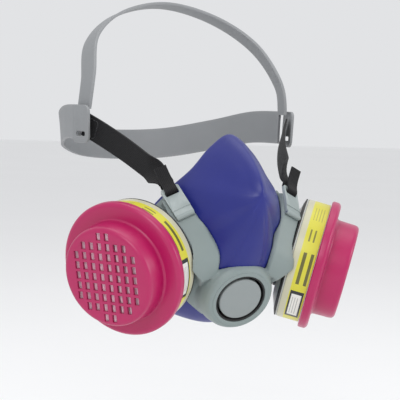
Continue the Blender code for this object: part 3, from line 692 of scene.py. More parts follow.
def plus(tree, a, b, clamp=False):
    """Two values added."""
    return maths(tree, "ADD", a, b, clamp)


def ramp(tree, value, low, high):
    """0 at `low` and 1 at `high`, held outside them."""
    return add(tree, "ShaderNodeMapRange", {"Value": value, "From Min": low, "From Max": high}).outputs["Result"]


def blend_colour(tree, factor, a, b):
    """A colour Mix node's output."""
    return add(tree, "ShaderNodeMix", {0: factor, 6: a, 7: b}, data_type="RGBA").outputs[2]


def coordinates(tree, kind="Object"):
    """Texture coordinates of this kind."""
    return tree.nodes.new("ShaderNodeTexCoord").outputs[kind]


def noise(tree, vector, scale, detail=3.0, rough=0.55):
    """A noise value."""
    return add(tree, "ShaderNodeTexNoise", {"Vector": vector, "Scale": scale, "Detail": detail,
                                            "Roughness": rough}).outputs["Fac"]


@once
def grain_group():
    """Fine moulded grain and slow colour drift, from object coordinates."""
    tree, given, end = socket_group(
        "moulded grain",
        [("Colour", "NodeSocketColor", (0.5, 0.5, 0.5, 1)), ("Grain Scale", "NodeSocketFloat", 900.0),
         ("Grain Height", "NodeSocketFloat", 0.3), ("Drift", "NodeSocketFloat", 0.12),
         ("Roughness", "NodeSocketFloat", 0.45), ("Rough Spread", "NodeSocketFloat", 0.08)],
        [("Colour", "NodeSocketColor"), ("Roughness", "NodeSocketFloat"), ("Height", "NodeSocketFloat")])
    coord = coordinates(tree)
    fine = noise(tree, coord, given["Grain Scale"], 2.0)
    slow = noise(tree, coord, 38.0, 4.0)
    patch = noise(tree, coord, 140.0, 3.0)
    drift = times(tree, maths(tree, "SUBTRACT", slow, 0.5), given["Drift"])
    value = plus(tree, times(tree, drift, 2.0), 1.0)
    hsv = add(tree, "ShaderNodeHueSaturation", {"Value": value, "Color": given["Colour"]})
    give(tree, hsv.outputs["Color"], end, "Colour")
    spread = times(tree, maths(tree, "SUBTRACT", patch, 0.5), given["Rough Spread"])
    tree.links.new(plus(tree, times(tree, spread, 2.0), given["Roughness"], clamp=True),
                   end.inputs["Roughness"])
    give(tree, times(tree, fine, given["Grain Height"]), end, "Height")
    return tree


@once
def wear_and_shade_group():
    """Paler edges where rubbed, and painted shade darkening the hollows."""
    tree, given, end = socket_group(
        "rubbed edges, painted hollow shade",
        [("Colour", "NodeSocketColor", (0.5, 0.5, 0.5, 1)), ("Edge Colour", "NodeSocketColor", (0.8, 0.8, 0.8, 1)),
         ("Edge Amount", "NodeSocketFloat", 0.4), ("Hollow Shade Amount", "NodeSocketFloat", 0.3)],
        [("Colour", "NodeSocketColor"), ("Edge", "NodeSocketFloat")])
    point = tree.nodes.new("ShaderNodeNewGeometry").outputs["Pointiness"]
    coord = coordinates(tree)
    edge = ramp(tree, point, 0.52, 0.64)
    broken = times(tree, edge, plus(tree, noise(tree, coord, 260.0, 4.0), 0.35), clamp=True)
    edge_mask = times(tree, broken, given["Edge Amount"], clamp=True)
    # painted shade: concave places (low pointiness) are blended towards near-black
    hollow_shade = ramp(tree, point, 0.49, 0.38)
    hollow_shade_mask = times(tree, hollow_shade, given["Hollow Shade Amount"], clamp=True)
    dark = blend_colour(tree, hollow_shade_mask, given["Colour"], (0.02, 0.02, 0.02))
    lit = blend_colour(tree, edge_mask, dark, given["Edge Colour"])
    give(tree, lit, end, "Colour")
    give(tree, edge_mask, end, "Edge")
    return tree


@once
def dust_group():
    """Thin pale dust on faces that look up."""
    tree, given, end = socket_group(
        "settled dust",
        [("Colour", "NodeSocketColor", (0.5, 0.5, 0.5, 1)), ("Amount", "NodeSocketFloat", 0.1)],
        [("Colour", "NodeSocketColor"), ("Mask", "NodeSocketFloat")])
    normal = tree.nodes.new("ShaderNodeNewGeometry").outputs["Normal"]
    up = add(tree, "ShaderNodeSeparateXYZ", {"Vector": normal}).outputs["Z"]
    coord = coordinates(tree)
    speck = noise(tree, coord, 420.0, 6.0, 0.7)
    lift = ramp(tree, up, -0.1, 1.0)
    mask = times(tree, times(tree, lift, speck), given["Amount"], clamp=True)
    give(tree, blend_colour(tree, mask, given["Colour"], (0.62, 0.60, 0.57)), end, "Colour")
    give(tree, mask, end, "Mask")
    return tree


@once
def weave_and_shade_group():
    """Elastic webbing: ribs along the strap, picks across it, from the strap's own UV map in metres; the grooves
    between them are painted dark as shade.
    """
    tree, given, end = socket_group(
        "elastic weave, painted groove shade",
        [("Colour", "NodeSocketColor", (0.02, 0.02, 0.02, 1)), ("Rib Pitch", "NodeSocketFloat", 0.0011),
         ("Pick Pitch", "NodeSocketFloat", 0.0008)],
        [("Colour", "NodeSocketColor"), ("Height", "NodeSocketFloat")])
    uv = coordinates(tree, "UV")
    parts = add(tree, "ShaderNodeSeparateXYZ", {"Vector": uv})
    across = maths(tree, "DIVIDE", parts.outputs["X"], given["Rib Pitch"])
    along = maths(tree, "DIVIDE", parts.outputs["Y"], given["Pick Pitch"])
    rib = maths(tree, "ABSOLUTE", maths(tree, "SINE", times(tree, across, math.pi)))
    shift = times(tree, maths(tree, "FLOOR", across), 0.5)
    pick = maths(tree, "ABSOLUTE", maths(tree, "SINE", times(tree, plus(tree, along, shift),
                                                               math.pi)))
    weave = times(tree, rib, plus(tree, times(tree, pick, 0.5), 0.5))
    # painted shade: where the weave is low, between ribs and picks, the colour is blended to black
    lit = blend_colour(tree, weave, (0.0, 0.0, 0.0), given["Colour"])
    fuzz = noise(tree, uv, 2500.0, 3.0)
    tint = blend_colour(tree, times(tree, fuzz, 0.22), lit, (0.05, 0.05, 0.055))
    give(tree, tint, end, "Colour")
    give(tree, weave, end, "Height")
    return tree


def place_group(tree, maker, links):
    """A shared group's node in a material."""
    return add(tree, "ShaderNodeGroup", links, node_tree=maker())


def new_material(name):
    """An empty Principled material; returns material, tree and shader."""
    mat = bpy.data.materials.new(name)
    mat.use_nodes = True
    tree = mat.node_tree
    return mat, tree, tree.nodes["Principled BSDF"]


def bump_into(tree, shader, height, distance, strength=0.6):
    """Bump a height into the shader's normal."""
    node = add(tree, "ShaderNodeBump", {"Height": height, "Distance": distance, "Strength": strength})
    give(tree, node.outputs["Normal"], shader, "Normal")


def constants(shader, values):
    """Set plain values on the shader's own inputs."""
    for key, value in values.items():
        shader.inputs[key].default_value = value


def moulded(name, tone, rough, grain=900.0, height=0.3, drift=0.10, edge=(0.8, 0.8, 0.8), wear=0.25, hollow_shade=0.25,
            dust=0.08, specular=0.5, coat=0.0, bump=0.00006, subsurface=0.0):
    """Moulded plastic or rubber with grain, edges paler where rubbed, painted shade in the hollows and a little
    dust.
    """
    mat, tree, shader = new_material(name)
    base = place_group(tree, grain_group, {"Colour": tone, "Grain Scale": grain, "Grain Height": height,
                                           "Drift": drift, "Roughness": rough, "Rough Spread": 0.07})
    worn_and_shaded = place_group(tree, wear_and_shade_group, {"Colour": base.outputs["Colour"], "Edge Colour": edge,
                                          "Edge Amount": wear, "Hollow Shade Amount": hollow_shade})
    dusty = place_group(tree, dust_group, {"Colour": worn_and_shaded.outputs["Colour"], "Amount": dust})
    give(tree, dusty.outputs["Colour"], shader, "Base Color")
    rougher = plus(tree, base.outputs["Roughness"], times(tree, dusty.outputs["Mask"], 0.4), clamp=True)
    give(tree, rougher, shader, "Roughness")
    constants(shader, {"Specular IOR Level": specular, "Coat Weight": coat, "Coat Roughness": 0.25,
                       "Subsurface Weight": subsurface, "Subsurface Scale": 0.004})
    bump_into(tree, shader, base.outputs["Height"], bump)
    mat.diffuse_color = (*tone, 1)
    return mat


def tones():
    """The scene's colour settings."""
    return bpy.context.scene.respirator_finishes


@once
def facepiece_material():
    return moulded("facepiece elastomer", tones().facepiece, 0.36, grain=1300, height=0.5, drift=0.10,
                   edge=(0.06, 0.08, 0.38), wear=0.2, hollow_shade=0.15, dust=0.015, specular=0.42, bump=0.00004)


@once
def yoke_material():
    return moulded("yoke plastic", tones().yoke, 0.46, grain=1500, height=0.6, drift=0.06,
                   edge=(0.46, 0.50, 0.50), wear=0.35, hollow_shade=0.35, dust=0.05)


@once
def buckle_material():
    return moulded("buckle plastic", tones().buckle, 0.44, grain=1500, height=0.6, drift=0.06,
                   edge=(0.5, 0.55, 0.55), wear=0.4, hollow_shade=0.4, dust=0.05)


@once
def cover_material():
    return moulded("cover plastic", (0.27, 0.30, 0.30), 0.5, grain=1700, height=0.8, drift=0.05,
                   edge=(0.5, 0.52, 0.52), wear=0.3, hollow_shade=0.1, dust=0.04)


@once
def cap_material():
    return moulded("magenta cap plastic", tones().cap, 0.34, grain=1200, height=0.35, drift=0.06,
                   edge=(0.60, 0.05, 0.18), wear=0.2, hollow_shade=0.25, dust=0.012, coat=0.12)


@once
def shell_material():
    return moulded("cartridge shell plastic", tones().shell, 0.38, grain=1200, height=0.3, drift=0.05,
                   edge=(0.75, 0.75, 0.7), wear=0.2, hollow_shade=0.3, dust=0.03, subsurface=0.08)


@once
def rubber_material():
    return moulded("black seal rubber", tones().rubber, 0.55, grain=900, height=0.5, drift=0.2,
                   edge=(0.06, 0.06, 0.06), wear=0.4, hollow_shade=0.0, dust=0.10)


@once
def valve_material():
    return moulded("valve silicone", (0.55, 0.52, 0.45), 0.45, grain=700, height=0.3, drift=0.08, wear=0.1,
                   hollow_shade=0.1, dust=0.02, subsurface=0.15)


@once
def cradle_material():
    return moulded("cradle plastic", tones().cradle, 0.48, grain=1400, height=0.5, drift=0.08,
                   edge=(0.5, 0.5, 0.5), wear=0.3, hollow_shade=0.2, dust=0.08)


@once
def sorbent_material():
    return moulded("sorbent granules", (0.02, 0.02, 0.02), 0.8, grain=1100, height=1.0, drift=0.4, bump=0.0006)


@once
def thread_material():
    return moulded("sewing thread", (0.05, 0.05, 0.055), 0.7, grain=2500, height=0.8, drift=0.2, wear=0.0,
                   hollow_shade=0.0, dust=0.05)


@once
def steel_material():
    """Drawn steel wire for the buckle pins."""
    mat, tree, shader = new_material("steel pin")
    base = place_group(tree, grain_group, {"Colour": (0.55, 0.56, 0.58), "Grain Scale": 2000.0,
                                           "Grain Height": 0.4, "Drift": 0.1, "Roughness": 0.3,
                                           "Rough Spread": 0.15})
    give(tree, base.outputs["Colour"], shader, "Base Color")
    give(tree, base.outputs["Roughness"], shader, "Roughness")
    shader.inputs["Metallic"].default_value = 1.0
    bump_into(tree, shader, base.outputs["Height"], 0.00003)
    return mat


@once
def strap_material():
    """Black elastic webbing."""
    mat, tree, shader = new_material("elastic webbing")
    weave = place_group(tree, weave_and_shade_group, {"Colour": tones().strap, "Rib Pitch": 0.0011,
                                            "Pick Pitch": 0.0008})
    dusty = place_group(tree, dust_group, {"Colour": weave.outputs["Colour"], "Amount": 0.05})
    give(tree, dusty.outputs["Colour"], shader, "Base Color")
    constants(shader, {"Roughness": 0.78, "Specular IOR Level": 0.25, "Sheen Weight": 0.06,
                       "Sheen Roughness": 0.4})
    bump_into(tree, shader, weave.outputs["Height"], 0.00025, 0.8)
    mat.diffuse_color = (0.02, 0.02, 0.02, 1)
    return mat


@once
def media_material():
    """Pale fibrous filter paper."""
    mat, tree, shader = new_material("filter paper")
    coord = coordinates(tree)
    fibre = noise(tree, coord, 1600.0, 8.0, 0.75)
    pale = [min(1.0, v * 1.12) for v in tones().media]
    dark = [v * 0.72 for v in tones().media]
    give(tree, blend_colour(tree, fibre, dark, pale), shader, "Base Color")
    shader.inputs["Roughness"].default_value = 0.95
    bump_into(tree, shader, fibre, 0.0003)
    return mat


@once
def label_material():
    """Yellow band with a pale foot, a white data box in a dark frame and plain grey bars."""
    mat, tree, shader = new_material("label film")
    uv = coordinates(tree, "UV")
    parts = add(tree, "ShaderNodeSeparateXYZ", {"Vector": uv})
    turn, rise = parts.outputs["X"], parts.outputs["Y"]
    sector = maths(tree, "FRACT", times(tree, turn, 2.0))
    paper = coordinates(tree)
    stain = noise(tree, paper, 90.0, 5.0)

    def window(value, low, high):
        return times(tree, maths(tree, "GREATER_THAN", value, low),
                     maths(tree, "LESS_THAN", value, high))

    def area(u0, u1, v0, v1):
        return times(tree, window(sector, u0, u1), window(rise, v0, v1))

    def bars(count, share, where):
        return times(tree, window(maths(tree, "FRACT", times(tree, rise, count)), 0.3, share),
                     where)

    foot = ramp(tree, rise, 0.30, 0.27)
    ground = blend_colour(tree, foot, tones().label, tones().label_foot)
    varied = blend_colour(tree, times(tree, stain, 0.16), ground, (0.45, 0.42, 0.10))
    look = varied
    for mask, strength, ink in (
            (bars(8.0, 0.62, area(0.13, 0.24, 0.42, 0.88)), 0.45, (0.10, 0.10, 0.04)),
            (bars(5.0, 0.66, area(0.30, 0.37, 0.40, 0.86)), 0.75, (0.05, 0.05, 0.03)),
            (bars(3.0, 0.75, area(0.43, 0.60, 0.36, 0.90)), 0.85, (0.03, 0.03, 0.02)),
            (area(0.64, 0.85, 0.33, 0.93), 1.0, (0.012, 0.012, 0.012)),
            (area(0.66, 0.83, 0.41, 0.85), 1.0, (0.78, 0.77, 0.72)),
            (bars(9.0, 0.6, area(0.68, 0.81, 0.48, 0.78)), 0.5, (0.08, 0.08, 0.08))):
        look = blend_colour(tree, times(tree, mask, strength), look, ink)
    give(tree, look, shader, "Base Color")
    constants(shader, {"Roughness": 0.36, "Coat Weight": 0.25, "Coat Roughness": 0.2})
    bump_into(tree, shader, stain, 0.00008)
    mat.diffuse_color = (*tones().label, 1)
    return mat


@once
def floor_material():
    """Pale matt studio floor."""
    mat, tree, shader = new_material("pale floor")
    coord = coordinates(tree)
    tree.links.new(blend_colour(tree, noise(tree, coord, 3.0), (0.90, 0.90, 0.90), (0.93, 0.93, 0.93)),
                   shader.inputs["Base Color"])
    shader.inputs["Roughness"].default_value = 0.9
    return mat


# ---------------------------------------------------------------- Geometry Nodes

def node_tree(name, inputs):
    """An empty geometry node tree with these inputs; returns it, its given values and its end node."""
    tree = bpy.data.node_groups.new(name, "GeometryNodeTree")
    tree.interface.new_socket("Geometry", in_out="INPUT", socket_type="NodeSocketGeometry")
    for label, kind, default in inputs:
        sock = tree.interface.new_socket(label, in_out="INPUT", socket_type=kind)
        if default is not None:
            sock.default_value = default
    tree.interface.new_socket("Geometry", in_out="OUTPUT", socket_type="NodeSocketGeometry")
    return tree, tree.nodes.new("NodeGroupInput").outputs, tree.nodes.new("NodeGroupOutput")


def finish_tree(tree, given, end, geometry):
    """Realize Instances and Set Material at the end of a tree."""
    real = add(tree, "GeometryNodeRealizeInstances", {"Geometry": geometry})
    painted = add(tree, "GeometryNodeSetMaterial", {"Geometry": real.outputs["Geometry"],
                                                    "Material": given["Material"]})
    give(tree, painted.outputs["Geometry"], end, "Geometry")


@once
def slot_tree():
    """Pierces a disc with a square grid of slots inside a circle."""
    tree, given, end = node_tree("slot grille", [
        ("Pitch", "NodeSocketFloat", 0.006), ("Row Pitch", "NodeSocketFloat", 0.0066),
        ("Slot Width", "NodeSocketFloat", 0.0033), ("Slot Length", "NodeSocketFloat", 0.0049),
        ("Grille Radius", "NodeSocketFloat", 0.0275),
        ("Height", "NodeSocketFloat", 0.04), ("Material", "NodeSocketMaterial", None)])
    wide = times(tree, given["Pitch"], 7.0)
    tall = times(tree, given["Row Pitch"], 8.0)
    grid = add(tree, "GeometryNodeMeshGrid", {"Size X": wide, "Size Y": tall, "Vertices X": 8, "Vertices Y": 9})
    place = tree.nodes.new("GeometryNodeInputPosition").outputs["Position"]
    reach = add(tree, "ShaderNodeVectorMath", {0: place}, operation="LENGTH").outputs["Value"]
    outside = maths(tree, "GREATER_THAN", reach, given["Grille Radius"])
    kept = add(tree, "GeometryNodeDeleteGeometry", {"Geometry": grid.outputs["Mesh"], "Selection": outside},
               domain="POINT")
    extent = add(tree, "ShaderNodeCombineXYZ", {"X": given["Slot Width"], "Y": given["Slot Length"],
                                                "Z": 0.006})
    cube = add(tree, "GeometryNodeMeshCube", {"Size": extent.outputs["Vector"]})
    spread = add(tree, "GeometryNodeInstanceOnPoints", {"Points": kept.outputs["Geometry"],
                                                        "Instance": cube.outputs["Mesh"]})
    real = add(tree, "GeometryNodeRealizeInstances", {"Geometry": spread.outputs["Instances"]})
    lift = add(tree, "ShaderNodeCombineXYZ", {"Z": given["Height"]})
    moved = add(tree, "GeometryNodeTransform", {"Geometry": real.outputs["Geometry"],
                                                "Translation": lift.outputs["Vector"]})
    pierced = add(tree, "GeometryNodeMeshBoolean", {"Mesh 1": given["Geometry"],
                                                    "Mesh 2": moved.outputs["Geometry"]},
                  operation="DIFFERENCE", solver="EXACT")
    finish_tree(tree, given, end, pierced.outputs["Mesh"])
    return tree


@once
def stitch_tree():
    """Thread stitches laid end to end along the input edges."""
    tree, given, end = node_tree("stitch row", [
        ("Stitch Length", "NodeSocketFloat", 0.0022), ("Thread Radius", "NodeSocketFloat", 0.00022),
        ("Material", "NodeSocketMaterial", None)])
    curve = add(tree, "GeometryNodeMeshToCurve", {"Mesh": given["Geometry"]})
    gap = times(tree, given["Stitch Length"], 1.35)
    points = add(tree, "GeometryNodeResampleCurve", {"Curve": curve.outputs["Curve"], "Length": gap}, mode="LENGTH")
    thread = add(tree, "GeometryNodeMeshCylinder", {"Vertices": 6, "Side Segments": 2,
                                                    "Radius": given["Thread Radius"],
                                                    "Depth": given["Stitch Length"]})
    tangent = tree.nodes.new("GeometryNodeInputTangent").outputs["Tangent"]
    turn = add(tree, "FunctionNodeAlignRotationToVector", {"Vector": tangent}, axis="Z")
    laid = add(tree, "GeometryNodeInstanceOnPoints", {"Points": points.outputs["Curve"],
                                                      "Instance": thread.outputs["Mesh"],
                                                      "Rotation": turn.outputs["Rotation"]})
    finish_tree(tree, given, end, laid.outputs["Instances"])
    return tree


@once
def rib_tree():
    """Raised grip ribs, one at each input point, lying along X and stacked along Y."""
    tree, given, end = node_tree("grip ribs", [
        ("Rib Length", "NodeSocketFloat", 0.009), ("Rib Radius", "NodeSocketFloat", 0.0005),
        ("Material", "NodeSocketMaterial", None)])
    bar = add(tree, "GeometryNodeMeshCylinder", {"Vertices": 10, "Radius": given["Rib Radius"],
                                                 "Depth": given["Rib Length"]})
    side = add(tree, "GeometryNodeTransform", {"Geometry": bar.outputs["Mesh"],
                                               "Rotation": (0.0, math.pi / 2, 0.0)})
    points = add(tree, "GeometryNodeMeshToPoints", {"Mesh": given["Geometry"]})
    laid = add(tree, "GeometryNodeInstanceOnPoints", {"Points": points.outputs["Points"],
                                                      "Instance": side.outputs["Geometry"]})
    finish_tree(tree, given, end, laid.outputs["Instances"])
    return tree


def run_tree(obj, tree, values):
    """Run a geometry node tree on an object and keep the plain mesh."""
    mod = obj.modifiers.new("nodes", "NODES")
    mod.node_group = tree
    names = {item.name: item.identifier for item in tree.interface.items_tree if item.in_out == "INPUT"}
    for key, value in values.items():
        mod[names[key]] = value
    return bake(obj)


def settle(obj, mat):
    """Move a piece built on its own axis into place, as mesh coordinates."""
    place = mat.copy()
    place.translation = mat.translation * MM
    obj.data.transform(place)
    obj.data.update()
    return obj


# ---------------------------------------------------------------- operators

class RESPIRATOR_OT_facepiece(bpy.types.Operator):
    """Elastomer cup with its rolled seal and three ports"""
    bl_idname = "respirator.facepiece"
    bl_label = "Facepiece"

    def execute(self, context):
        s = context.scene.respirator_facepiece
        verts, faces = face_sheet(s.columns, s.rows, s.lip_radius, s.lip_reach)
        cup = write_mesh("facepiece_cup", verts, faces, facepiece_material())
        mod = cup.modifiers.new("wall", "SOLIDIFY")
        mod.thickness = s.wall * MM
        mod.offset = -1.0
        bake(cup)
        outward(cup, split=True)
        for _, word in SIDES:
            cut(cup, cylinder(port_frame(word), PORT_BORE, -24, 12), solver="MANIFOLD")
        cut(cup, cylinder(valve_frame(), VALVE_BORE_CUP, -24, 12), solver="MANIFOLD")
        smooth(cup, 40)
        present(cup, "mask", "facepiece")
        return {"FINISHED"}


def yoke_strip(thick):
    """Thick U-shaped strip following the facepiece."""
    across = 9
    inner = catmull([a for a, _ in YOKE_EDGES], 8)
    outer = catmull([b for _, b in YOKE_EDGES], 8)
    right = list(zip(inner, outer))
    middle = [((0.0, -50.0), (0.0, -73.0))]
    left = [((-a[0], a[1]), (-b[0], b[1])) for a, b in right]
    stations = right + middle + left[::-1]
    verts, faces = [], []
    for a, b in stations:
        spots = [(a[0] + (b[0] - a[0]) * k / (across - 1), a[1] + (b[1] - a[1]) * k / (across - 1))
                 for k in range(across)]
        for k, (x, z) in enumerate(spots):
            edge = abs(2 * k / (across - 1) - 1)
            verts.append(wall_at(x, z) + wall_normal(x, z) * thick * (1 - 0.22 * edge ** 4))
        for x, z in spots:
            verts.append(wall_at(x, z) - wall_normal(x, z) * SUNK)
    m = 2 * across
    for i in range(len(stations) - 1):
        a, b = i * m, (i + 1) * m
        for k in range(across - 1):
            faces.append((a + k, a + k + 1, b + k + 1, b + k))
            faces.append((a + across + k, b + across + k, b + across + k + 1, a + across + k + 1))
        faces.append((a, b, b + across, a + across))
        faces.append((a + across - 1, a + m - 1, b + m - 1, b + across - 1))
    for a in (0, (len(stations) - 1) * m):
        faces.append(tuple(a + k for k in range(across)) + tuple(a + m - 1 - k for k in range(across)))
    return verts, faces


class RESPIRATOR_OT_yoke(bpy.types.Operator):
    """Grey yoke: arms, round valve housing and the bosses of both ports"""
    bl_idname = "respirator.yoke"
    bl_label = "Yoke"

    def execute(self, context):
        valve = valve_frame()
        yoke = write_mesh("yoke_shell", *yoke_strip(YOKE_THICKNESS), yoke_material())
        outward(yoke, split=True)
        room = [(0, -2.1), (22.0, -2.1), (27.2, -0.5), (40.8, 4.3), (41.2, 6.0), (41.2, 20.5), (44.4, 20.5),
                (44.4, 60), (0, 60)]
        for side, word in SIDES:
            cut(yoke, arm_block(side), "UNION")
            cut(yoke, lathe(room, port_frame(word), SMALL))
        housing = [(0, -24), (25.8, -24), (24.8, -9), (23.2, -3.0), (21.6, -0.6), (20.6, 0.0), (0, 0.0)]
        cut(yoke, lathe(housing, valve, SMALL), "UNION")
        boss = [(0, -18), (18.6, -18), (18.6, -6.0), (21.5, -4.6), (21.5, -2.2), (0, -2.2)]
        for _, word in SIDES:
            cut(yoke, lathe(boss, port_frame(word), SMALL), "UNION")
        cut(yoke, face_block(0.3))
        soften(yoke, 0.6, 3)
        cut(yoke, cylinder(valve, VALVE_BORE_YOKE, -40, 12))
        for _, word in SIDES:
            cut(yoke, cylinder(port_frame(word), PORT_BORE, -40, 12))
        rim = rounded([(17.0, -3.0), (19.4, -3.0), (19.4, 0.5), (17.0, 0.5)], 0.7)
        lip = turned("valve_rim", rim, valve, ROUND, yoke_material(), 50)
        smooth(yoke, 42)
        present(yoke, "mask", "yoke")
        present(lip, "mask")
        return {"FINISHED"}


def soften(obj, voxel, passes):
    """Voxel remesh and smooth a moulded part so its joins have fillets."""
    mod = obj.modifiers.new("voxels", "REMESH")
    mod.mode = "VOXEL"
    mod.voxel_size = voxel * MM
    calm = obj.modifiers.new("calm", "SMOOTH")
    calm.factor = 0.5
    calm.iterations = passes
    bake(obj)


def spokes(obj, mat, count, gap, centre, extent, first=0.0):
    """Add `count` equal boxes round the frame's axis, `gap` radians apart, and shade the piece."""
    for k in range(count):
        spin = mat @ Matrix.Rotation(first + gap * k, 4, "Z")
        cut(obj, box_shape(spin, centre, extent), "UNION")
    smooth(obj, 45)


class RESPIRATOR_OT_exhalation_valve(bpy.types.Operator):
    """Round valve cover, the black rubber well behind it, whose black also stands in for the shade in the valve
    chamber, and the flap behind
    """
    bl_idname = "respirator.exhalation_valve"
    bl_label = "Exhalation valve"

    def execute(self, context):
        valve = valve_frame()
        disc = rounded([(0, -3.0), (14.4, -3.0), (14.4, 0.0, 0.9), (0, 0.0)], 0.3)
        cover = turned("valve_cover", disc, valve, ROUND, cover_material(), 50)
        spokes(cover, valve, 3, THIRD, (13.3, 0, -5.8), (2.0, 3.4, 6.6), TWELFTH)
        # the black well is the valve seat, and its black also stands in for the shade in the valve chamber seen
        # through the cover's gap
        well = rounded([(10.2, -12.2), (17.1, -12.2), (17.1, -0.2), (16.0, -0.2), (16.0, -9.4), (10.2, -9.4)], 0.35)
        seat = turned("valve_seat_shade_well", well, valve, ROUND, rubber_material())
        spokes(seat, valve, 2, QUARTER, (0, 0, -10.9), (22.2, 1.6, 1.8))
        flap = rounded([(0, -9.2), (11.6, -9.2), (11.6, -8.4), (0, -8.4)], 0.25)
        leaf = turned("exhalation_leaf", flap, valve, SMALL, valve_material(), 45)
        present(cover, "exhalation_cover", "exhalation_cover")
        present(seat, "mask", "exhalation_valve_seat")
        present(leaf, "exhalation_flap", "exhalation_flap")
        return {"FINISHED"}


class RESPIRATOR_OT_inhalation_valves(bpy.types.Operator):
    """Bayonet sockets, spokes and the leaves inside the mask"""
    bl_idname = "respirator.inhalation_valves"
    bl_label = "Inhalation valves"

    def execute(self, context):
        ring = rounded([(10.2, -13.0), (16.0, -13.0), (16.0, -2.3), (15.0, -2.3), (15.0, -6.6), (12.8, -6.6),
                        (12.8, -11.4), (10.2, -11.4)], 0.3)
        flap = rounded([(0, -13.9), (10.6, -13.9), (10.6, -13.1), (0, -13.1)], 0.25)
        gasket = rounded([(17.0, -1.9), (21.5, -1.9), (21.5, -0.3), (17.0, -0.3)], 0.4)
        for _, word in SIDES:
            port = port_frame(word)
            socket = turned("bayonet_socket_" + word, ring, port, SMALL, yoke_material())
            spokes(socket, port, 2, QUARTER, (0, 0, -12.2), (22.2, 1.6, 1.3))
            leaf = turned("inhalation_leaf_" + word, flap, port, SMALL, valve_material(), 45)
            seal = turned("port_seal_" + word, gasket, port, SMALL, rubber_material(), 45)
            present(socket, "mask", "inhalation_connector_" + word)
            present(leaf, "inhalation_flap_" + word, "inhalation_flap_" + word)
            present(seal, "cartridge_gasket_" + word, "cartridge_gasket_" + word)
        return {"FINISHED"}


def band_uv(obj, mat, low, high, start, way):
    """UV map for a round label: U once round from `start` degrees, V from its lower to its upper edge."""
    place = mat.inverted()
    layer = obj.data.uv_layers.new(name="UVMap")
    for poly in obj.data.polygons:
        turns = []
        for loop in poly.loop_indices:
            p = place @ (Vector(obj.data.vertices[obj.data.loops[loop].vertex_index].co) / MM)
            angle = way * math.degrees(math.atan2(p.y, p.x)) - start
            turns.append([angle / 360 % 1.0, (p.z - low) / (high - low)])
        if max(t[0] for t in turns) - min(t[0] for t in turns) > 0.5:
            for t in turns:
                if t[0] < 0.5:
                    t[0] += 1.0
        for loop, uv in zip(poly.loop_indices, turns):
            layer.data[loop].uv = uv


class RESPIRATOR_OT_cartridges(bpy.types.Operator):
    """Cartridge shells with their bayonet necks, the printed label bands, and a black ring painted as the shadow
    line at each shell's lower edge
    """
    bl_idname = "respirator.cartridges"
    bl_label = "Cartridges"

    def execute(self, context):
        s = context.scene.respirator_cartridge
        r, low, top = s.base_radius, s.base_height, s.base_height + s.label_height
        outline = rounded([(10.6, -9.0), (12.4, -9.0), (12.4, 0.0, 0.6), (r - 13.0, 0.0, 2.0), (r, 4.8, 1.4),
                           (r, low), (r - 0.4, low), (r - 0.4, top), (r - 2.2, top), (r - 2.2, 6.0),
                           (r - 13.0, 2.0), (10.6, 2.0)], 0.3)
        # painted shade: a thin black rubber ring at the shell's lower edge stands in for the shadow line between
        # yoke and cartridge
        rim = rounded([(r - 3.6, 3.3), (r + 0.25, 4.6), (r + 0.25, 5.4), (r - 0.6, 5.6), (r - 3.6, 4.2)], 0.2)
        film = rounded([(r - 0.3, low + 0.1), (r + 0.45, low + 0.1), (r + 0.45, top - 0.1),
                        (r - 0.3, top - 0.1)], 0.2)
        for side, word in SIDES:
            port = port_frame(word)
            shell = turned("cartridge_body_" + word, outline, port, FINE, shell_material())
            spokes(shell, port, 3, THIRD, (13.1, 0, -4.6), (2.6, 6.0, 1.5))
            seal = turned("base_shade_ring_" + word, rim, port, FINE, rubber_material(), 45)
            label = turned("label_" + word, film, port, FINE, label_material())
            band_uv(label, port, low, top, 89.0 if side > 0 else -125.0, side)
            smooth(label, 45)
            body = "cartridge_" + word
            present(shell, body, "cartridge_shell_" + word)
            present(label, body, "label_band_" + word)
            present(seal, body)
        return {"FINISHED"}


class RESPIRATOR_OT_filter_caps(bpy.types.Operator):
    """Stepped caps pierced by a grid of slots, with pleated paper behind"""
    bl_idname = "respirator.filter_caps"
    bl_label = "Filter caps"

    def execute(self, context):
        s = context.scene.respirator_cartridge
        low = s.base_height + s.label_height + 0.2
        high = low + s.flange_height
        front = high + s.cap_height
        f, c = s.flange_radius, s.cap_radius
        outline = rounded([(f - 0.8, low, 0.4), (f, low + 0.8, 0.6), (f, high - 1.6, 1.2), (f - 1.9, high, 1.2),
                           (c + 0.9, high, 0.9), (c, high + 1.2, 0.8), (c - 0.4, front, 3.4), (0, front),
                           (c - 2.4, front - 1.6, 1.0), (c - 2.4, low, 0.3)], 0.6, 6)
        grille = {"Pitch": s.slot_pitch, "Row Pitch": s.row_pitch, "Slot Width": s.slot_width,
                  "Slot Length": s.slot_length, "Grille Radius": s.grille_radius, "Height": front - 1.2}
        grille = {key: value * MM for key, value in grille.items()}
        for _, word in SIDES:
            cap = turned("slotted_cap_" + word, outline, Matrix.Identity(4), FINE, cap_material())
            run_tree(cap, slot_tree(), {**grille, "Material": cap_material()})
            smooth(settle(cap, port_frame(word)), 42)
            paper = settle(pleated_paper("pleated_paper_" + word, c - 2.7, low + 1.0, front - 1.62),
                           port_frame(word))
            present(cap, "cartridge_" + word, "filter_cap_" + word)
            present(paper, "cartridge_" + word, "particulate_filter_" + word)
        return {"FINISHED"}


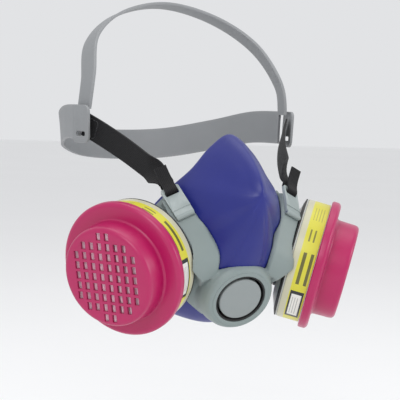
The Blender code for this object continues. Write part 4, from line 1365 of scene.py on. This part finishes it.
def pleated_paper(name, radius, low, high):
    """A round pad whose front is folded into pleats."""
    pleat, depth = 3.2, 1.6
    steps = int(2 * radius / (pleat / 4))
    verts, faces = [], []
    rows = []
    for i in range(steps + 1):
        x = -radius + 2 * radius * i / steps
        half = math.sqrt(max(radius * radius - x * x, 0.04))
        phase = (x / pleat) % 1.0
        z = high - depth * abs(2 * phase - 1)
        row = []
        for y in (-half, half):
            for h in (z, low):
                row.append(len(verts))
                verts.append(Vector((x, y, h)))
        rows.append(row)
    for a, b in zip(rows, rows[1:]):
        faces += [(a[0], b[0], b[2], a[2]), (a[1], a[3], b[3], b[1]), (a[0], a[1], b[1], b[0]),
                  (a[2], b[2], b[3], a[3])]
    for row in (rows[0], rows[-1]):
        faces.append((row[0], row[2], row[3], row[1]))
    return smooth(outward(write_mesh(name, verts, faces, media_material())), 20)


def arm_axes():
    """Directions of an arm's front face on the left side: across, up and outward."""
    across = (ARM_ACROSS - ARM_UP * ARM_ACROSS.dot(ARM_UP)).normalized()
    return across, ARM_UP, across.cross(ARM_UP).normalized()


def buckle_frame(side):
    """Frame on the arm's front face: across the arm, up the arm, outward; origin at the pivot."""
    mat = Matrix(arm_axes()).transposed().to_4x4()
    mat.translation, _ = joint_place("strap_buckle_swing_left")
    return mat if side > 0 else Matrix.Diagonal((-1, 1, 1, 1)) @ mat


def arm_block(side):
    """Closed block under an arm's front face: it keeps facing forward while the cup's wall turns away."""
    across, up, _ = arm_axes()
    rails = [[], [], [], []]
    for (x, z), (fx, fz), width in ARM_FACES:
        top = wall_at(x, z) + wall_normal(x, z) * ARM_LIFT
        rails[0].append(top)
        rails[1].append(top + across * width)
        rails[2].append(wall_at(fx, fz) - wall_normal(fx, fz) * SUNK)
        rails[3].append(wall_at(x, z) - wall_normal(x, z) * SUNK)
    rails[0][0] = rails[0][1] + up * ARM_REACH
    rails[1][0] = rails[0][0] + across * ARM_FACES[0][2]
    lines = [[Vector(p) for p in catmull(rail, ARM_STEPS)] for rail in rails]
    verts = [Vector((p.x * side, p.y, p.z)) for ring in zip(*lines) for p in ring]
    count = len(lines[0])
    faces = [(0, 1, 2, 3), tuple(4 * (count - 1) + k for k in (3, 2, 1, 0))]
    for i in range(count - 1):
        for k in range(4):
            j = (k + 1) % 4
            faces.append((4 * i + k, 4 * i + 4 + k, 4 * i + 4 + j, 4 * i + j))
    return verts, faces


class RESPIRATOR_OT_buckles(bpy.types.Operator):
    """Strap buckles on the arms, with hinge knuckles and strap bars"""
    bl_idname = "respirator.buckles"
    bl_label = "Strap buckles"

    def execute(self, context):
        s = context.scene.respirator_harness
        w, length = s.buckle_width, s.buckle_length
        for side, word in SIDES:
            mat = buckle_frame(side)
            base = plate("buckle_base", mat, plate_outline(w, length + 2.6, 1.6), -0.6, 1.5, buckle_material(),
                         (0, length * 0.5))
            cut(base, prism(mat, plate_outline(w - 3.2, 3.6, 1.0), -5, 5, (0, length - 3.2)))
            cut(base, prism(mat, plate_outline(w, 7.6, 0.6), 1.05, 3.0, (0, 1.2)))
            bevel(base, 0.4, 3)
            turn = mat @ Matrix.Rotation(math.pi / 2, 4, "Y")
            half = w / 2 - 0.2
            knuckle = rounded([(0.8, -half), (1.65, -half), (1.65, half), (0.8, half)], 0.3)
            barrel = turned("knuckle", knuckle, turn, 40, buckle_material(), 45)
            half = w / 2 - 1.6
            bar = rounded([(0, -half), (1.25, -half), (1.25, half), (0, half)], 0.3)
            turn.translation = mat @ Vector((0, length - 0.2, 0.4))
            rod = turned("rod", bar, turn, 32, buckle_material(), 45)
            buckle = smooth(join("strap_buckle_plate_" + word, [base, barrel, rod]), 45)
            present(buckle, "strap_buckle_" + word, "strap_buckle_" + word)
        return {"FINISHED"}


def grip_ribs(name, mat, points, length, radius, finish):
    """A stack of raised ribs at these points of a frame."""
    rows = write_mesh(name, [Vector(p) for p in points], [], finish)
    run_tree(rows, rib_tree(), {"Rib Length": length * MM, "Rib Radius": radius * MM, "Material": finish})
    settle(rows, mat)
    if mat.determinant() < 0:
        outward(rows)
    return smooth(rows, 45)


def head_normal(p):
    """Outward normal of the head's ellipsoid at this point."""
    d = p - HEAD_CENTRE
    return Vector((d.x / HEAD_RADII.x ** 2, d.y / HEAD_RADII.y ** 2, d.z / HEAD_RADII.z ** 2)).normalized()


def on_head(p, lift=1.5):
    """Nearest point a little above the head's ellipsoid, straight from its centre."""
    d = p - HEAD_CENTRE
    far = math.sqrt((d.x / HEAD_RADII.x) ** 2 + (d.y / HEAD_RADII.y) ** 2 + (d.z / HEAD_RADII.z) ** 2)
    return HEAD_CENTRE + d / far + head_normal(p) * lift


def mirror(point, side):
    """The point on this side."""
    return Vector((point.x * side, point.y, point.z))


def strap_route(side, length):
    """Upper strap from the buckle's bar to the cradle's side plate."""
    mat = buckle_frame(side)
    start = mat @ Vector((0, length + 8.4, 0.6))
    end = mirror(JUNCTION, side)
    mid = on_head(start.lerp(end, 0.5), 1.0)
    bulge = mid - start.lerp(end, 0.5)
    near = start.lerp(end, 0.25) + bulge * 0.65
    far = start.lerp(end, 0.78) + bulge * 0.72
    lead = mat @ Vector((0, length + 4.2, 0.3))
    return even(catmull((lead, start, near, mid, far, end), 12), 1.5)


def across_head(path):
    """Width direction of a band lying on the head."""
    out = []
    for i, p in enumerate(path):
        tangent = (path[min(i + 1, len(path) - 1)] - path[max(i - 1, 0)]).normalized()
        out.append(head_normal(p).cross(tangent).normalized())
    return out


def eased(directions, first, count):
    """The same directions with the first `count` turned smoothly from `first`."""
    if first.dot(directions[0]) < 0:
        first = -first
    out = list(directions)
    for i in range(min(count, len(out))):
        out[i] = first.lerp(directions[i], ease(i / count)).normalized()
    return out


class RESPIRATOR_OT_upper_straps(bpy.types.Operator):
    """Black elastic from each buckle to the cradle, and the doubled tails"""
    bl_idname = "respirator.upper_straps"
    bl_label = "Upper straps"

    def execute(self, context):
        s = context.scene.respirator_harness
        length = s.buckle_length
        for side, word in SIDES:
            mat = buckle_frame(side)
            sideways = mat.to_3x3() @ Vector((1, 0, 0))
            path = strap_route(side, length)
            across = eased(across_head(path), sideways, 16)
            narrow = s.buckle_width - 2.4
            widths = [narrow + (s.strap_width - narrow) * ease((i - 2) / 9) for i in range(len(path))]
            strap = band("elastic_strap_" + word, path, across, widths, s.strap_thickness, strap_material())
            loop = [(length + 5.9, 0.9), (length + 4.0, -1.3), (length - 0.5, -1.7), (length - 2.7, -1.2),
                    (length - 3.1, 0.8), (length - 2.4, 2.8), (length + 2.0, 3.3), (length + 7.0, 5.2),
                    (length + 13.0, 8.8)]
            tail_path = even(catmull([mat @ Vector((0, y, z)) for y, z in loop], 8), 1.0)
            tail = band("strap_tail_" + word + "_webbing", tail_path, [sideways] * len(tail_path),
                        s.buckle_width - 4.0, 1.15, strap_material())
            rows = stitch_box("cradle_stitches_" + word, path, across, s.strap_width)
            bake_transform(strap)
            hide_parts("upper_strap_" + word)
            present(tail, "strap_buckle_" + word, "strap_tail_" + word)
            present(rows, "mask")
        return {"FINISHED"}


def stitch_box(name, path, across, width):
    """A box of stitches sewing the strap's end to the cradle."""
    count = len(path)
    verts = []
    for back in (3, 7):
        i = count - 1 - back
        tangent = (path[i + 1] - path[i - 1]).normalized()
        n = across[i].cross(tangent).normalized()
        if n.dot(head_normal(path[i])) < 0:
            n = -n
        for x in (-0.36, 0.36):
            verts.append((path[i] + across[i] * (x * width) + n * 0.72) * MM)
    edges = [(0, 1), (1, 3), (3, 2), (2, 0)]
    mesh = bpy.data.meshes.new(name)
    mesh.from_pydata([tuple(v) for v in verts], edges, [])
    obj = link(name, mesh)
    run_tree(obj, stitch_tree(), {"Stitch Length": 0.0019, "Thread Radius": 0.00024, "Material": thread_material()})
    return smooth(obj, 60)


class RESPIRATOR_OT_cradle(bpy.types.Operator):
    """Head cradle: crown band, rear band and the plates that join them"""
    bl_idname = "respirator.cradle"
    bl_label = "Head cradle"

    def execute(self, context):
        s = context.scene.respirator_harness
        over = [JUNCTION + Vector((-0.5, 2.5, 10)), Vector((72, 68, 79)), Vector((62, 88, 105)),
                Vector((36, 104, 124)), Vector((0, 110, 132))]
        behind = [JUNCTION + Vector((0.5, 8, 1))]
        behind += [on_head(p) for p in (Vector((71, 108, 48)), Vector((58, 145, 41)), Vector((32, 172, 34)),
                                        Vector((0, 182, 32)))]
        for name, half, width in (("crown_band", over, s.crown_width), ("rear_band", behind, s.rear_width)):
            path = even(catmull(half + [mirror(p, -1) for p in half[-2::-1]], 12), 2.0)
            strip = band(name, path, across_head(path), width, CRADLE_THICKNESS, cradle_material(), CRADLE_CROWN)
            present(strip, "mask", "cradle_" + name)
        for side, word in SIDES:
            centre = mirror(JUNCTION, side)
            n = head_normal(centre)
            mat = frame_on(centre + n * CRADLE_PLATE_LIFT, n)
            piece = plate("cradle_plate_" + word, mat, plate_outline(*CRADLE_PLATE), -1.0, 1.0, cradle_material())
            cut(piece, prism(mat, plate_outline(11, 3.0, 1.2), -5, 5, (0, -6.5)))
            bevel(piece, 0.5, 3)
            present(piece, "mask", "cradle_side_plate_" + word)
        return {"FINISHED"}


class RESPIRATOR_OT_neck_strap(bpy.types.Operator):
    """Neck strap with its anchors, hook and eye"""
    bl_idname = "respirator.neck_strap"
    bl_label = "Neck strap"

    def execute(self, context):
        s = context.scene.respirator_harness
        for side, word in SIDES:
            port = port_frame(word)
            back = port.to_3x3() @ Vector((side, 0, 0))
            anchor = port @ Vector((side * 37.0, -9.0, -4.4))
            mat = frame_on(anchor, port.to_3x3() @ Vector((0, 0, 1)))
            tab = plate("neck_anchor_" + word, mat, plate_outline(16, 20, 3.6), -1.1, 1.1, yoke_material())
            bevel(tab, 0.5, 3)
            start = anchor + back * 8.8
            keys = [start, start + back * 13 + Vector((-side * 3, 4, -0.5)), Vector((side * 72, 96, -47)),
                    Vector((side * 56, 130, -49)), Vector((side * 34, 148, -50)), Vector((side * 14.95, 152, -50))]
            path = even(catmull(keys, 12), 2.0)
            strap = band("neck_webbing_" + word, path, [Vector((0, 0, 1))] * len(path), s.strap_width - 2,
                         s.strap_thickness, strap_material())
            present(tab, "mask", "neck_strap_anchor_" + word)
            present(strap, "mask", "neck_strap_" + word)
        self.clip()
        return {"FINISHED"}

    def clip(self):
        """Hook on the wearer's left, eye on the right."""
        pivot, _ = joint_place("neck_clip_open")
        nape = pivot - Vector((13.8, 0, 0))
        mat = frame_on(nape, Vector((0, 1, 0)))
        blank = plate_outline(*CLIP_PLATE)
        hook = plate("clip_hook", mat, blank, -CLIP_HALF, CLIP_HALF, buckle_material(), (-7.6, 0))
        for centre, extent in (((-3.0, 0, 1.9), (3.0, 8.2, 2.0)), ((0.6, 0, 2.2), (6.4, 8, 1.4)),
                               ((3.1, 0, 0.6), (1.4, 7.8, 2.8))):
            cut(hook, box_shape(mat, centre, extent), "UNION")
        bevel(hook, 0.4, 2)
        eye = plate("clip_eye", mat, blank, -CLIP_HALF, CLIP_HALF, buckle_material(), (7.6, 0))
        cut(eye, box_shape(mat, (4.0, 0, 0), (4.2, 10, 8)))
        bevel(eye, 0.4, 2)
        ribs = grip_ribs("clip_ribs", mat, [(-8.5, -6 + 2.4 * k, 1.2) for k in range(6)], 6.0, 0.4,
                         buckle_material())
        present(hook, "neck_clip_hook", "neck_clip_hook")
        present(eye, "mask", "neck_clip_loop")
        present(ribs, "neck_clip_hook")


class RESPIRATOR_OT_frame_finishes(bpy.types.Operator):
    """Finishes for the solids that are shown as packed"""
    bl_idname = "respirator.frame_finishes"
    bl_label = "Frame finishes"

    def execute(self, context):
        makers = {"facepiece_elastomer": facepiece_material, "yoke_plastic": yoke_material,
                  "buckle_plastic": buckle_material, "black_rubber": rubber_material,
                  "valve_rubber": valve_material, "cover_plastic": cover_material,
                  "cartridge_shell": shell_material, "label_film": label_material,
                  "filter_magenta": cap_material, "filter_media": media_material, "sorbent": sorbent_material,
                  "strap_webbing": strap_material, "cradle_plastic": cradle_material, "pin_steel": steel_material}
        slots = {part["node"]: part["material_slot"] for part in RECORD["subparts"]}
        for name, node in frame["nodes"].items():
            for held in node.material_slots:
                held.material = makers[slots[name]]()
        return {"FINISHED"}


class RESPIRATOR_OT_stage(bpy.types.Operator):
    """Pale floor, soft lights and the camera"""
    bl_idname = "respirator.stage"
    bl_label = "Stage"

    def execute(self, context):
        s = context.scene.respirator_stage
        low = CAD_BOX[0][2] - s.floor_gap
        mesh = bpy.data.meshes.new("studio_floor")
        corners = [(x * FLOOR_HALF, y * FLOOR_HALF, low) for x, y in ((-1, -1), (1, -1), (1, 1), (-1, 1))]
        mesh.from_pydata(corners, [], [(0, 1, 2, 3)])
        mesh.materials.append(floor_material())
        link("studio_floor", mesh)
        world = bpy.data.worlds.new("studio")
        world.use_nodes = True
        world.node_tree.nodes["Background"].inputs["Color"].default_value = (0.95, 0.96, 0.98, 1)
        world.node_tree.nodes["Background"].inputs["Strength"].default_value = 0.80
        context.scene.world = world
        context.scene.view_settings.view_transform = "Standard"
        for lamp in LIGHTS:
            self.light(*lamp)
        self.camera(context, s)
        return {"FINISHED"}

    def light(self, name, place, width, power):
        """A square soft light aimed at the mask."""
        data = bpy.data.lights.new(name, "AREA")
        data.size = width
        data.energy = power
        lamp = link(name, data)
        lamp.location = place
        lamp.rotation_euler = (-Vector(place)).to_track_quat("-Z", "Y").to_euler()

    def camera(self, context, s):
        """Camera by its angles round the target, with a slight roll."""
        az, el, roll = (math.radians(v) for v in (s.azimuth, s.elevation, s.roll))
        back = Vector((math.sin(az) * math.cos(el), -math.cos(az) * math.cos(el), math.sin(el)))
        right = Vector((math.cos(az), math.sin(az), 0))
        up = back.cross(right)
        tilted = right * math.cos(roll) + up * math.sin(roll)
        rise = up * math.cos(roll) - right * math.sin(roll)
        target = Vector((0, 0.0264, 0)) - tilted * 0.0063 + rise * 0.0005
        data = bpy.data.cameras.new("camera")
        data.lens = s.lens
        data.sensor_width = SENSOR_WIDTH
        data.clip_start = 0.01
        data.clip_end = 30.0
        cam = link("camera", data)
        place = Matrix((tilted, rise, back)).transposed().to_4x4()
        place.translation = target + back * s.distance
        cam.matrix_world = place
        context.scene.camera = cam


class RESPIRATOR_PT_panel(bpy.types.Panel):
    """Lists the respirator's pieces"""
    bl_idname = "RESPIRATOR_PT_panel"
    bl_label = "Respirator"
    bl_space_type = "VIEW_3D"
    bl_region_type = "UI"
    bl_category = "Respirator"

    def draw(self, context):
        for cls in OPERATORS:
            self.layout.operator(cls.bl_idname)
        for name in SETTINGS:
            box = self.layout.box()
            for key in getattr(context.scene, name).bl_rna.properties.keys():
                if key not in {"rna_type", "name"}:
                    box.prop(getattr(context.scene, name), key)


OPERATORS = [RESPIRATOR_OT_frame_finishes, RESPIRATOR_OT_facepiece, RESPIRATOR_OT_yoke,
             RESPIRATOR_OT_exhalation_valve, RESPIRATOR_OT_inhalation_valves, RESPIRATOR_OT_cartridges,
             RESPIRATOR_OT_filter_caps, RESPIRATOR_OT_buckles, RESPIRATOR_OT_upper_straps, RESPIRATOR_OT_cradle,
             RESPIRATOR_OT_neck_strap, RESPIRATOR_OT_stage]
SETTINGS = {"respirator_facepiece": FacepieceSizes, "respirator_cartridge": CartridgeSizes,
            "respirator_harness": HarnessSizes, "respirator_finishes": Finishes,
            "respirator_stage": StageSettings}


def register():
    for cls in (*SETTINGS.values(), *OPERATORS, RESPIRATOR_PT_panel):
        bpy.utils.register_class(cls)
    for name, cls in SETTINGS.items():
        setattr(bpy.types.Scene, name, PointerProperty(type=cls))


def unregister():
    for name in SETTINGS:
        delattr(bpy.types.Scene, name)
    for cls in reversed((*SETTINGS.values(), *OPERATORS, RESPIRATOR_PT_panel)):
        bpy.utils.unregister_class(cls)


def main():
    register()
    for cls in OPERATORS:
        group_name, call = cls.bl_idname.split(".")
        getattr(getattr(bpy.ops, group_name), call)()


if __name__ == "__main__":
    main()
